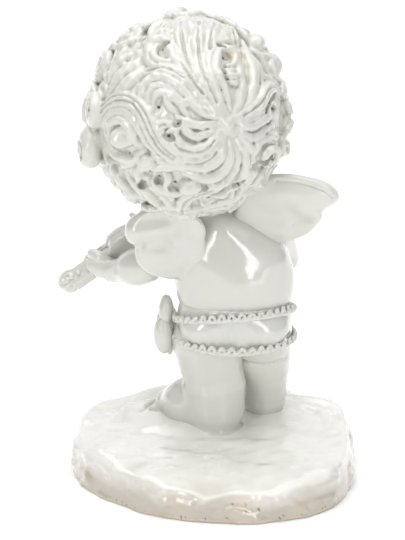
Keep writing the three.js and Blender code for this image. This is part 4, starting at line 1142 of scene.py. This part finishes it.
# Locks on the back of the head: width, height, grooves, then places across (to the right, seen from
# behind) and up from the head's middle, in millimetres, in the frame that tips with the head.
LOCKS = (
    # Oval lock left of the whorl.
    (3.4, 2, 0, ((13.3, -1.2), (7.9, 0), (4.2, 2.9), (0.8, 5.4), (-1.7, 5), (-2.1, 2.1), (0, -0.4))),
    # Left of the whorl.
    (3.2, 2.5, 0, ((12.9, -3.8), (7.1, -4.6), (1.7, -4.2), (-2.5, -2.5), (-5, -0.8))),
    # Left, bent up.
    (3.4, 2.2, 0, ((12.9, -5.4), (8.3, -8.3), (3.8, -9.6), (0, -7.9), (-2.1, -5), (-4.2, -2.9))),
    # Left crescent.
    (5.5, 3.3, 1, ((14.2, -7.1), (10.4, -12.5), (4.6, -15.8), (-1.7, -15), (-5.4, -12.1), (-7.1, -8.8),
        (-5, -6.2))),
    # Left great crescent.
    (5.5, 2.5, 1, ((15, -9.2), (11.7, -16.7), (5.8, -20.8), (-0.8, -20.8), (-7.5, -17.9), (-12.1, -13.3),
        (-13.3, -8.3), (-11.2, -4.6), (-7.5, -4.2))),
    # Inside it.
    (3, 2.9, 0, ((5, -17.5), (-0.8, -17.5), (-5.8, -15), (-9.2, -11.7), (-10, -8.3))),
    # Down, like a leaf.
    (5, 2.7, 0, ((16.7, -10.4), (15, -16.2), (11.7, -20.4), (6.7, -22.9), (2.5, -22.5), (-0.8, -20.8))),
    # Down.
    (4.6, 3.2, 0, ((18.3, -11.2), (18.3, -18.3), (15, -24.2), (9.6, -27.1), (3.8, -26.7), (-1.7, -25))),
    (4.4, 2.4, 0, ((20, -11.7), (21.7, -18.8), (19.6, -25.8), (14.6, -30), (8.8, -31.7), (4.2, -32.5))),
    (4.2, 2.6, 0, ((21.7, -11.2), (25, -17.5), (25, -24.6), (21.7, -30), (16.2, -33.8), (10.8, -35.4))),
    # Down to the right.
    (4, 1.8, 0, ((22.9, -10), (27.5, -15.8), (28.8, -21.7), (26.7, -26.7), (22.9, -30.8), (18.8, -33.3))),
    # Right lobe.
    (6.5, 3.3, 1, ((20.8, -1.7), (25.8, 0.4), (30.4, 4.6), (32.9, 9.6), (35.8, 11.7), (38.3, 8.8),
        (38.3, 4.2))),
    # Right.
    (3.4, 2.2, 0, ((22.1, -3.3), (26.7, -2.5), (30, -0.4), (32.9, 2.1))),
    (3.6, 2.8, 0, ((22.9, -5), (27.1, -5.4), (30.8, -3.8), (33.3, -1.2), (34.6, -2.5))),
    (3.6, 2.2, 0, ((22.9, -6.7), (26.7, -9.6), (30.4, -9.6), (33.3, -7.1), (35.4, -5))),
    # Right, round the low curl.
    (4.4, 2.9, 0, ((22.9, -8.3), (26.2, -13.3), (29.6, -15.8), (30.8, -12.5), (34.2, -10.4),
        (37.9, -12.1))),
    # Sweep to the crown left.
    (5.5, 2.2, 1, ((14.2, -0.4), (8.3, 4.2), (2.5, 11.7), (-3.3, 16.7), (-10, 19.6), (-15.8, 19.6),
        (-20.4, 18.3))),
    # Sweep round the hollow.
    (4.4, 2.8, 0, ((10.8, 1.2), (4.2, 5), (-1.7, 10.4), (-6.7, 14.6), (-12.5, 16.7), (-17.5, 14.6),
        (-20.4, 10), (-20.4, 4.6), (-17.5, 0.4))),
    # Round the hollow.
    (3.6, 2, 0, ((0.8, 4.2), (-4.2, 7.5), (-8.3, 11.7), (-13.3, 12.9), (-17.1, 10), (-17.5, 5),
        (-15.4, 1.2))),
    # Hook in the hollow.
    (3, 2.6, 0, ((-3.3, 4.2), (-6.7, 7.5), (-10.4, 9.6), (-14.2, 8.3), (-15, 4.6))),
    (2.6, 1.8, 0, ((-4.2, 0.4), (-7.5, 2.9), (-9.6, 6.2), (-11.7, 7.5))),
    # Fan to the crown.
    (9, 2.5, 1, ((15, 0), (7.5, 8.3), (1.7, 18.3), (-1.7, 28.3), (-2.9, 35.8), (-2.5, 40.8))),
    (7, 2.3, 1, ((15.8, 0.4), (10.8, 9.2), (6.2, 19.2), (4.6, 29.2), (4.6, 35.8), (5, 41.2))),
    (6, 2.6, 1, ((10.8, 3.3), (3.3, 12.5), (-3.3, 21.7), (-7.5, 29.2), (-10, 35), (-9.2, 39.2))),
    # Round the upper curl.
    (4.6, 2.7, 0, ((17.5, 0.4), (13.3, 8.3), (10.4, 15.8), (9.2, 23.3), (11.2, 29.2), (16.2, 31.7),
        (20.8, 29.6))),
    # Into the upper curl.
    (3.6, 3.3, 0, ((18.8, 2.5), (16.7, 9.6), (13.3, 16.7), (12.1, 22.9), (14.2, 27.9), (17.9, 28.3),
        (20.4, 25.8), (20, 22.1), (17.1, 21.2))),
    # Right of the upper curl.
    (4.6, 2.5, 0, ((20.8, 0), (23.3, 5.8), (24.2, 12.5), (22.9, 18.3), (21.7, 23.3), (22.1, 28.3))),
    # Far right of the upper curl.
    (5, 2.9, 0, ((22.9, -0.4), (27.1, 5.8), (28.8, 13.3), (28.3, 20.8), (26.2, 27.5), (23.3, 32.5))),
    # Scallop.
    (2, 2.7, 0, ((15.8, 19.6), (18.3, 18.8), (21.2, 20))),
    (2, 3.3, 0, ((16.7, 17.1), (19.2, 16.2), (22.1, 17.5))),
    (2, 2.5, 0, ((17.9, 14.6), (20, 13.8), (22.5, 15))),
    # Round the crown curl.
    (4.6, 3.1, 0, ((3.3, 14.2), (-1.7, 20), (-5.8, 25), (-7.5, 30), (-10.8, 32.5), (-15, 30.8),
        (-17.5, 26.7), (-16.2, 22.5), (-11.7, 20.4))),
    # Into the crown curl.
    (3, 2.5, 0, ((-6.7, 23.3), (-11.7, 23.3), (-14.6, 25.4), (-14.2, 28.8), (-11.7, 30))),
    # Crown left.
    (6.5, 2.3, 0, ((-20, 21.7), (-23.8, 16.7), (-29.2, 10.8), (-34.2, 5.4), (-36.2, 2.5))),
    (6, 1.7, 0, ((-22.9, 24.2), (-27.9, 20), (-32.9, 13.3), (-36.2, 7.5))),
    (5, 2.2, 0, ((-18.8, 15.8), (-21.7, 10.8), (-25, 7.5), (-29.2, 6.7))),
    (5, 1.7, 0, ((-25.8, 27.5), (-30.8, 23.3), (-34.6, 17.5), (-37.5, 10.8))),
    # Great left curl.
    (7.5, 3.5, 2, ((-37.9, -4.2), (-37.9, 0.8), (-34.6, 5), (-29.2, 7.1), (-23.3, 5.4), (-19.2, 0.4),
        (-15.8, -6.2), (-12.1, -12.9), (-7.1, -17.5), (-1.7, -20))),
    # Great left curl, second turn.
    (4.2, 2.7, 0, ((-35.4, -10), (-36.2, -4.2), (-33.8, 0), (-28.8, 1.7), (-24.2, -0.8), (-20.8, -6.7),
        (-17.9, -12.5), (-13.8, -16.7))),
    # Great left curl, third turn.
    (3.4, 3.1, 0, ((-34.2, -9.2), (-33.8, -4.2), (-30, -2.1), (-26.2, -4.2), (-23.8, -8.8),
        (-22.9, -13.3))),
    # Under the great left curl.
    (3.8, 2.3, 0, ((-35.4, -11.7), (-32.9, -16.2), (-28.3, -18.8), (-22.9, -18.3), (-19.2, -15.8))),
    (3.4, 2.6, 0, ((-37.5, -15), (-34.6, -19.6), (-29.2, -21.7), (-23.3, -21.2))),
    # Low band.
    (4.2, 2.3, 0, ((-17.5, -14.6), (-12.5, -19.2), (-6.7, -21.7), (-0.8, -22.5), (3.3, -24.2))),
    (4, 3.1, 0, ((-21.7, -17.5), (-20.4, -22.5), (-16.7, -23.8), (-11.7, -22.5), (-6.7, -23.3))),
    # Low clump.
    (3.4, 2.7, 0, ((-20.8, -20.8), (-22.5, -25.8), (-20, -30), (-15.8, -31.2), (-12.5, -34.2))),
    (3.4, 3.3, 0, ((-15, -24.2), (-15.4, -28.3), (-12.5, -31.2), (-8.3, -32.9), (-6.7, -36.7))),
    (3.2, 2.7, 0, ((-10.8, -24.6), (-8.3, -26.7), (-8.8, -30.8), (-5.8, -33.8), (-2.1, -33.3))),
    # Hanging.
    (4, 2.6, 0, ((-35, -19.2), (-32.5, -25), (-27.5, -30), (-22.5, -36.7), (-20, -40))),
    (4, 2, 0, ((-29.2, -22.5), (-26.2, -27.5), (-21.7, -32.5), (-17.5, -38.8))),
    (4, 2.8, 0, ((-23.3, -26.7), (-19.2, -32.5), (-15, -37.5), (-11.7, -40))),
    (4, 2, 0, ((-11.7, -34.2), (-9.2, -37.5), (-5, -39.6))),
    # Bottom sweep.
    (5.5, 3.3, 1, ((14.2, -31.7), (8.3, -32.9), (2.5, -34.6), (-1.7, -37.5), (-1.7, -41.2), (2.5, -43.3),
        (8.3, -42.1))),
    # Bottom.
    (3.6, 2.5, 0, ((20, -33.3), (16.7, -37.5), (12.1, -40.4), (7.1, -42.1))),
    (3.4, 2.9, 0, ((25.8, -29.2), (21.7, -34.2), (16.7, -36.7), (11.7, -36.7))),
    # Low right.
    (4, 2, 0, ((30.8, -22.5), (28.3, -26.7), (24.6, -31.7), (20.8, -36.7))),
    (3.6, 2.6, 0, ((27.5, -23.3), (25, -27.5), (20.8, -30))),
    # Left of the crown.
    (4, 2, 0, ((-5, 35), (-10.4, 35.4), (-15.8, 33.3), (-18.8, 29.2))),
    # Right of the crown.
    (5, 2.4, 0, ((23.3, 30), (27.5, 25.8), (30.8, 20), (32.1, 14.2))),
    (4.6, 1.8, 0, ((26.7, 32.5), (31.7, 28.3), (35, 22.5), (36.7, 16.7))),
    # Right rim.
    (4, 2.5, 0, ((30.8, 17.5), (35, 15.8), (38.8, 12.5), (40, 7.5))),
    # Over the crown.
    (7, 2.2, 1, ((10, 24.2), (9.6, 30), (10.4, 35), (11.7, 39.2))),
    (6.5, 2.4, 1, ((20.8, 29.2), (19.2, 33.3), (17.1, 36.7), (14.2, 39.2))),
    (5, 2, 0, ((-15.8, 32.5), (-15, 36.7), (-11.7, 39.6), (-7.5, 41.2))),
    (5, 2.2, 0, ((7.5, 30.8), (14.2, 33.3), (17.5, 36.7), (15.8, 39.6))),
    # Inside the great left curl.
    (2.6, 2.8, 0, ((-31.2, -7.5), (-28.8, -6.2), (-25.8, -8.3), (-25.4, -11.7), (-28.8, -13.3))),
    # Left rim.
    (3, 1.6, 0, ((-37.9, 5.8), (-40.4, 6.2), (-42.1, 3.8), (-40.8, 0.8), (-38.8, 2.1))),
)
# Small curls: place across and up, reach, turns, way round, start, height above the rest.
CURLS = (
    ((-20.8, 32.1), 4.4, 1.3, 1, 200, -0.8),
    ((-29.2, 27.9), 5.4, 1.5, -1, 60, -0.2),
    ((-34.2, 20.8), 5, 1.3, 1, 60, -0.4),
    ((-37.1, 11.7), 4.6, 1.3, -1, 90, -0.2),
    ((25, 33.8), 5.6, 1.4, 1, 60, 1.6),
    ((31.2, 27.9), 5.8, 1.4, -1, 60, 1.9),
    ((36.7, 20), 5.2, 1.4, 1, 60, 1.2),
    ((40.4, 11.7), 4.6, 1.3, 1, 60, 1.8),
    ((42.5, 4.2), 4, 1.2, -1, 60, 2.2),
    ((42.9, -5), 4.2, 1.2, 1, 60, 2.4),
    ((40.8, -12.9), 4.2, 1.2, -1, 60, 2.6),
    ((35, -16.7), 5.4, 1.5, 1, 100, 2.8),
    ((36.7, -6.7), 3.8, 1.3, -1, 90, 1.8),
    ((36.2, 2.5), 3.8, 1.2, 1, 90, 1.2),
    ((-35.4, -22.1), 4.6, 1.3, 1, 60, 1),
    ((-30.4, -28.3), 4.4, 1.2, -1, 60, 1),
    ((-24.2, -36.2), 4.2, 1.2, 1, 60, 0.8),
    ((9.2, -37.1), 3.8, 1.1, 1, 30, 1),
    ((22.1, -30.4), 3.4, 1.1, -1, 60, 0.8),
    ((17.5, -37.9), 3.4, 1.2, 1, 30, 0.8),
)
# Smooth lumps: place, half size across and up, depth, tilt in degrees, height of the middle.
LUMPS = (
    ((-28.8, -9.6), 5.4, 4.4, 2.6, 25, 0.7),
    ((-40, 2.5), 4.4, 8, 7, 0, 1.4),
    ((-40.8, -12.9), 5.6, 9, 8, 0, 3),
    ((0.8, -30.8), 5, 3.6, 3.4, -5, 1.6),
    ((-17.5, -20), 3.6, 2.8, 3, 0, 1.2),
    ((-25, -32.5), 3.6, 5, 3.4, 30, 0.6),
    ((28.3, 30.8), 5.6, 4.4, 5, 30, 1.2),
    ((36.7, 21.7), 4.6, 5.6, 5, 0, 0.8),
)
# Deep hollows between them: place, radius, half length, tilt in degrees.
HOLLOWS = (
    ((-10.4, 29.6), 1, 2.4, 30),
    ((-12.9, 4.2), 1.1, 3.4, 65),
    ((-7.9, -9.6), 1.3, 2.2, -20),
    ((-4.2, -3.8), 0.8, 1.6, 50),
    ((16.2, 25.8), 1.1, 1.2, 0),
    ((14.2, 28.8), 0.7, 1.8, -10),
    ((35.4, 2.5), 1, 1.6, 80),
    ((36.7, 7.9), 0.8, 1.6, 60),
    ((36.7, -7.5), 0.8, 1.6, -20),
    ((35, -17.5), 0.9, 2, 0),
    ((-17.1, -25.4), 1.1, 1.6, 40),
    ((-12.9, -27.5), 1, 1.8, 70),
    ((-5.4, -29.6), 1.1, 2.4, 60),
    ((9.2, -36.7), 1.4, 2, -40),
    ((-25.8, -17.1), 0.8, 2.2, 0),
    ((-20, 32.5), 0.7, 2, 60),
    ((22.1, -29.2), 0.8, 2.6, 30),
    ((19.6, -32.5), 0.8, 2, 0),
    ((15, 38.3), 0.7, 1.2, 0),
    ((-25.8, 25.4), 0.6, 1, 0),
    ((-29.2, -24.2), 0.9, 2.2, 20),
    ((-31.7, -20.4), 0.7, 2.4, 10),
    ((-26.7, -28.3), 0.8, 1.6, 0),
    ((-19.2, -30), 0.9, 1.8, 50),
    ((6.2, -31.7), 0.8, 2.2, 0),
    ((30.8, -21.2), 0.7, 2.6, -15),
)


def hair_direction(across, up, limit=0.95):
    """Direction from the head's middle to a place across and up on the back of the hair."""
    u, v = across / HAIR_RADIUS, up / HAIR_RADIUS
    out = math.hypot(u, v)
    if out > limit:
        u, v = u * limit / out, v * limit / out
    return HAIR_TIP @ vec(-u, math.sqrt(1 - u * u - v * v), v)


CROWN = hair_direction(2.6, 40, 0.95)


def lump(d):
    """Slow rise and fall of the hair over the head, with a tuft on the crown."""
    tuft = 1.9 * math.exp(-(np.linalg.norm((d - CROWN) * (0.8, 1, 1)) / 0.42) ** 6)
    return tuft + 0.75 * waves(d[0] * HAIR_RADIUS, d[1] * HAIR_RADIUS, d[2] * HAIR_RADIUS, 19, 6, 31)


WIDE_LOCK = 5.4


def lay_lock(f, width, lift, grooves, path):
    """A rounded lock, low where it starts and tapered to its end, with grooves combed along it."""
    line = curve(path, max(12, 6 * len(path)))
    way = np.gradient(line, axis=0)
    side = np.stack([-way[:, 1], way[:, 0]], 1)
    side /= np.maximum(np.linalg.norm(side, axis=1), 1e-6)[:, None]
    t = np.linspace(0, 1, len(line))
    swell = np.interp(t, [0, 0.3, 0.7, 1], [0.4, 0.95, 1.0, 0.35])
    rise = lift * np.interp(t, [0, 0.25, 0.6, 1], [0.3, 0.85, 1.0, 0.6])
    heart = 0.48 * width * swell + 0.35
    ways = [hair_direction(*p) for p in line]
    places = [HEAD + d * (SCALP + h + lump(d) - r) for d, h, r in zip(ways, rise, heart)]
    strand(f, places, heart, 0.9 if width > WIDE_LOCK else 0.35)
    for j in range(grooves):
        aside = ((j + 1) / (grooves + 1) - 0.5 + rng.uniform(-0.06, 0.06)) * width * swell
        sink = heart - np.sqrt(np.maximum(heart ** 2 - aside ** 2, 0.1))
        track = line + side * aside[:, None]
        places = []
        for p, h, low in zip(track, rise, sink):
            d = hair_direction(*p)
            places.append(HEAD + d * (SCALP + h + lump(d) - low + 0.12))
        a, b = int(0.12 * len(places)), int(0.93 * len(places))
        groove(f, places[a:b], 0.6, 0.35)


def lay_curl(f, out, r, turns, spin, start, raise_by=0.0):
    """A hooked curl: a thick strand that rises and winds in to a deep eye at out."""
    out = unit(out)
    across = unit(np.cross(out, (0, 0, 1) if abs(out[2]) < 0.9 else (0, 1, 0)))
    up = np.cross(across, out)
    level = SCALP + lump(out) + raise_by
    f.join(egg(HEAD + out * (level - 3.4), (r * 0.95, r * 0.95, 4.0), np.stack([across, up, out], 1)), 1.2)
    tilt = math.radians(rng.uniform(0, 180))
    long_way = across * math.cos(tilt) + up * math.sin(tilt)
    short_way = -across * math.sin(tilt) + up * math.cos(tilt)
    steps = int(16 * turns) + 8
    places, sizes = [], []
    for i in range(steps):
        t = i / (steps - 1)
        a = math.radians(start) + spin * turns * t * 2 * math.pi
        reach = r * (1.25 - 0.95 * t ** 0.8)
        d = unit(out + (long_way * math.cos(a) + short_way * 0.8 * math.sin(a)) * reach / HAIR_RADIUS)
        ground_here = SCALP + lump(d) + raise_by * min(1.0, 0.2 + 1.6 * t)
        places.append(HEAD + d * (ground_here - 1.9 + 2.6 * math.sin(math.pi * min(1.0, 0.1 + 0.62 * t))))
        sizes.append((0.34 * r + 0.1) * np.interp(t, [0, 0.35, 1], [0.5, 1.0, 0.55]))
    strand(f, places, sizes, 0.4)
    f.pit(HEAD + out * (level + 0.8) + 0.1 * r * long_way, out, 0.12 * r, 2.8, 0.7)


SCATTERED = 132
GOLDEN_ANGLE = 2.399963


def scatter_curls(f, behind, taken):
    """The rest of the head: curls spread evenly, with short locks that wind between them."""
    for i in range(SCATTERED):
        z = 1 - 2 * (i + 0.5) / SCATTERED
        a = i * GOLDEN_ANGLE
        out = vec(math.sqrt(1 - z * z) * math.cos(a), math.sqrt(1 - z * z) * math.sin(a), z)
        if out @ behind > 0.22 or min(np.linalg.norm(out - t) for t in taken) < 0.13:
            continue
        r = rng.uniform(4.4, 6.2)
        side = unit(np.cross(out, rng.normal(size=3)))
        other = np.cross(out, side)
        for j in range(4):
            shift = (r + 0.2 + 1.8 * (j // 2)) / HAIR_RADIUS
            arc = []
            for b in np.linspace(-1.2, 1.5, 10) + math.pi * (j % 2):
                d = unit(out + shift * (math.cos(b) * side + math.sin(b) * other))
                arc.append(HEAD + d * (SCALP + lump(d) + 0.7 + 0.5 * (j // 2)))
            strand(f, arc, 1.5 * np.sin(np.linspace(0.5, 2.7, 10)) + 0.3, 0.6)
        turns, start, height = rng.uniform(1.2, 1.7), rng.uniform(0, 360), rng.uniform(-1.2, -0.3)
        lay_curl(f, out, r, turns, 1 if i % 2 else -1, start, height)


BIG_LUMP = 6
FRINGE_CURLS = 9
APPLIED_CURLS = 21


def cut_spiral(f, d, wide, high, deep, height):
    """The two big curls on the left rim are rolled: a spiral is cut in the outer face."""
    along = np.cross(d, UP)
    over = np.cross(along, d)
    spiral = []
    for a in np.linspace(0, 10, 34):
        shrink = 0.72 - 0.055 * a
        p, q = shrink * deep * math.cos(a), shrink * high * math.sin(a)
        drop = wide * math.sqrt(max(0.05, 1 - (p / deep) ** 2 - (q / high) ** 2))
        spiral.append(HEAD + d * (SCALP + height + drop) + p * along + q * over)
    groove(f, spiral, 0.6, 0.6)


def hair_piece():
    f = Field(HEAD - vec(49, 50, 49), HEAD + vec(49, 49, 49), 0.56)
    f.join(ball(HEAD, SCALP))
    f.join(egg(HEAD + CROWN * (SCALP - 9), (19, 16, 12.5), HAIR_TIP @ turned((1, 0, 0), -18)), 2)
    scatter_curls(f, HAIR_TIP @ vec(0, 1, 0), [hair_direction(*c[0], 0.995) for c in CURLS])
    for width, lift, grooves, path in LOCKS:
        lay_lock(f, width, lift, grooves, path)
    for place, r, turns, spin, start, height in CURLS:
        lay_curl(f, hair_direction(*place, 0.995), r, turns, spin, start, height)
    for place, wide, high, deep, tilt, height in LUMPS:
        d = hair_direction(*place, 0.99)
        f.join(egg(HEAD + d * (SCALP + height), (wide, deep, high), HAIR_TIP @ turned((0, 1, 0), tilt)), 0.9)
        if deep > BIG_LUMP:
            cut_spiral(f, d, wide, high, deep, height)
    # The whorl that the locks run out from.
    d = hair_direction(16.7, -4)
    f.join(egg(HEAD + d * (SCALP + lump(d) - 1.6), (4.2, 3.0, 4.2), HAIR_TIP), 1.4)
    # Room for the face, with the fringe curls left round it.
    f.cut(egg(on_head(0, -36, -15), (26, 32, 32), FACE_TURN), 1.5)
    f.cut(ball(HEAD, 36.0), 0)
    ring = math.radians(66)
    for i in range(FRINGE_CURLS):
        a = math.radians(-112 + 28 * i)
        out = FACE_TURN @ vec(math.sin(ring) * math.sin(a), -math.cos(ring), math.sin(ring) * math.cos(a))
        lay_curl(f, out, 7.6, 1.6, 1 if i % 2 else -1, 40 * i, 1.4)
    for place, r, half, tilt in HOLLOWS:
        d = hair_direction(*place, 0.99)
        along = HAIR_TIP @ vec(-math.cos(math.radians(tilt)), 0, math.sin(math.radians(tilt)))
        turn = np.stack([along, d, np.cross(along, d)], 1)
        f.cut(egg(HEAD + d * (SCALP + 1.6 + lump(d)), (half + 0.5, 2.6, r + 0.3), turn), 0.9)
        f.pit(HEAD + d * (SCALP + 0.4 + lump(d)) - along * 0.25 * half, d, 0.5 * r, 2.2, 0.4)
    f.roughen(4.2, 0.2, 41)
    curls = ["hair_curl_%d" % (i + 1) for i in range(APPLIED_CURLS)]
    shown("hair_locks", f, HAIR, "hair_cap", *curls)


base_piece()
torso_piece()
loincloth_piece()
braid_piece("waist_braid", WAIST_BRAID, 38, 1)
braid_piece("hem_braid", HEM_BRAID, 38, 2)
hip_bow()
left_leg_piece()
right_leg_piece()
arm_pieces()
left_hand_piece()
right_hand_piece()
wing_piece("left_wing", LEFT_WING)
wing_piece("right_wing", RIGHT_WING)
violin_body_piece()
violin_fittings()
violin_strings()
violin_scroll()
bow_pieces()
head_piece()
hair_piece()

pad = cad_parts["felt_pad"]
pad.data.materials.clear()
pad.data.materials.append(felt_material())


# ---- studio ----

def plain(name, colour, roughness):
    mat = bpy.data.materials.new(name)
    mat.use_nodes = True
    bsdf = mat.node_tree.nodes["Principled BSDF"]
    bsdf.inputs["Base Color"].default_value = (*colour, 1)
    bsdf.inputs["Roughness"].default_value = roughness
    return mat


floor_mesh = bpy.data.meshes.new("floor")
floor_mesh.from_pydata([(-6, -6, 0), (6, -6, 0), (6, 6, 0), (-6, 6, 0)], [], [(0, 1, 2, 3)])
floor = bpy.data.objects.new("floor", floor_mesh)
floor_paint = plain("floor_white", (0.93, 0.93, 0.93), 0.9)
floor_shader = floor_paint.node_tree.nodes["Principled BSDF"]
floor_shader.inputs["Emission Color"].default_value = (1, 1, 1, 1)
floor_shader.inputs["Emission Strength"].default_value = 0.14
floor.data.materials.append(floor_paint)
bpy.context.scene.collection.objects.link(floor)


def softbox(name, place, aim, width, height, power):
    light = bpy.data.lights.new(name, "AREA")
    light.shape = "RECTANGLE"
    light.size, light.size_y = width, height
    light.energy = power
    lamp = bpy.data.objects.new(name, light)
    lamp.location = place
    lamp.rotation_euler = (Vector(aim) - Vector(place)).to_track_quat("-Z", "Y").to_euler()
    bpy.context.scene.collection.objects.link(lamp)


softbox("softbox_left", (0.74, 0.98, 0.54), (0, 0, 0.09), 0.22, 0.75, 2.9)
softbox("softbox_right", (-0.53, 1.08, 0.58), (0, 0, 0.09), 0.20, 0.85, 2.7)
softbox("softbox_top", (0.1, 0.1, 1.3), (0, 0, 0.1), 0.9, 0.9, 4.4)
softbox("low_card", (-0.6, 0.9, 0.06), (0, 0, 0.05), 0.5, 0.1, 0.3)
softbox("ceiling", (0, -0.2, 1.5), (0, -0.2, 0), 2.8, 2.8, 24.0)
softbox("softbox_front", (0.4, -0.7, 1.1), (0, 0, 0.1), 0.6, 0.6, 1.2)
softbox("white_card", (0, -2.2, 0.75), (0, 0, 0.1), 5.0, 1.5, 16.0)

world = bpy.data.worlds.new("studio")
world.use_nodes = True
world.node_tree.nodes["Background"].inputs["Color"].default_value = (1, 1, 1, 1)
world.node_tree.nodes["Background"].inputs["Strength"].default_value = 0.27
bpy.context.scene.world = world
bpy.context.scene.view_settings.view_transform = "Standard"
bpy.context.scene.view_settings.look = "None"

CAMERA_ELEVATION = math.radians(19.5)
CAMERA_DISTANCE = 3.0
VIEW_HEIGHT = 0.225
AIM = Vector((0.0048, -0.005, 0.0897))
camera_data = bpy.data.cameras.new("camera")
camera_data.sensor_fit = "VERTICAL"
camera_data.sensor_height = 24
camera_data.lens = 24 * CAMERA_DISTANCE / VIEW_HEIGHT
camera_data.clip_end = 20
camera = bpy.data.objects.new("camera", camera_data)
camera.location = AIM + CAMERA_DISTANCE * Vector((0, math.cos(CAMERA_ELEVATION), math.sin(CAMERA_ELEVATION)))
camera.rotation_euler = (AIM - camera.location).to_track_quat("-Z", "Y").to_euler()
bpy.context.scene.collection.objects.link(camera)
bpy.context.scene.camera = camera
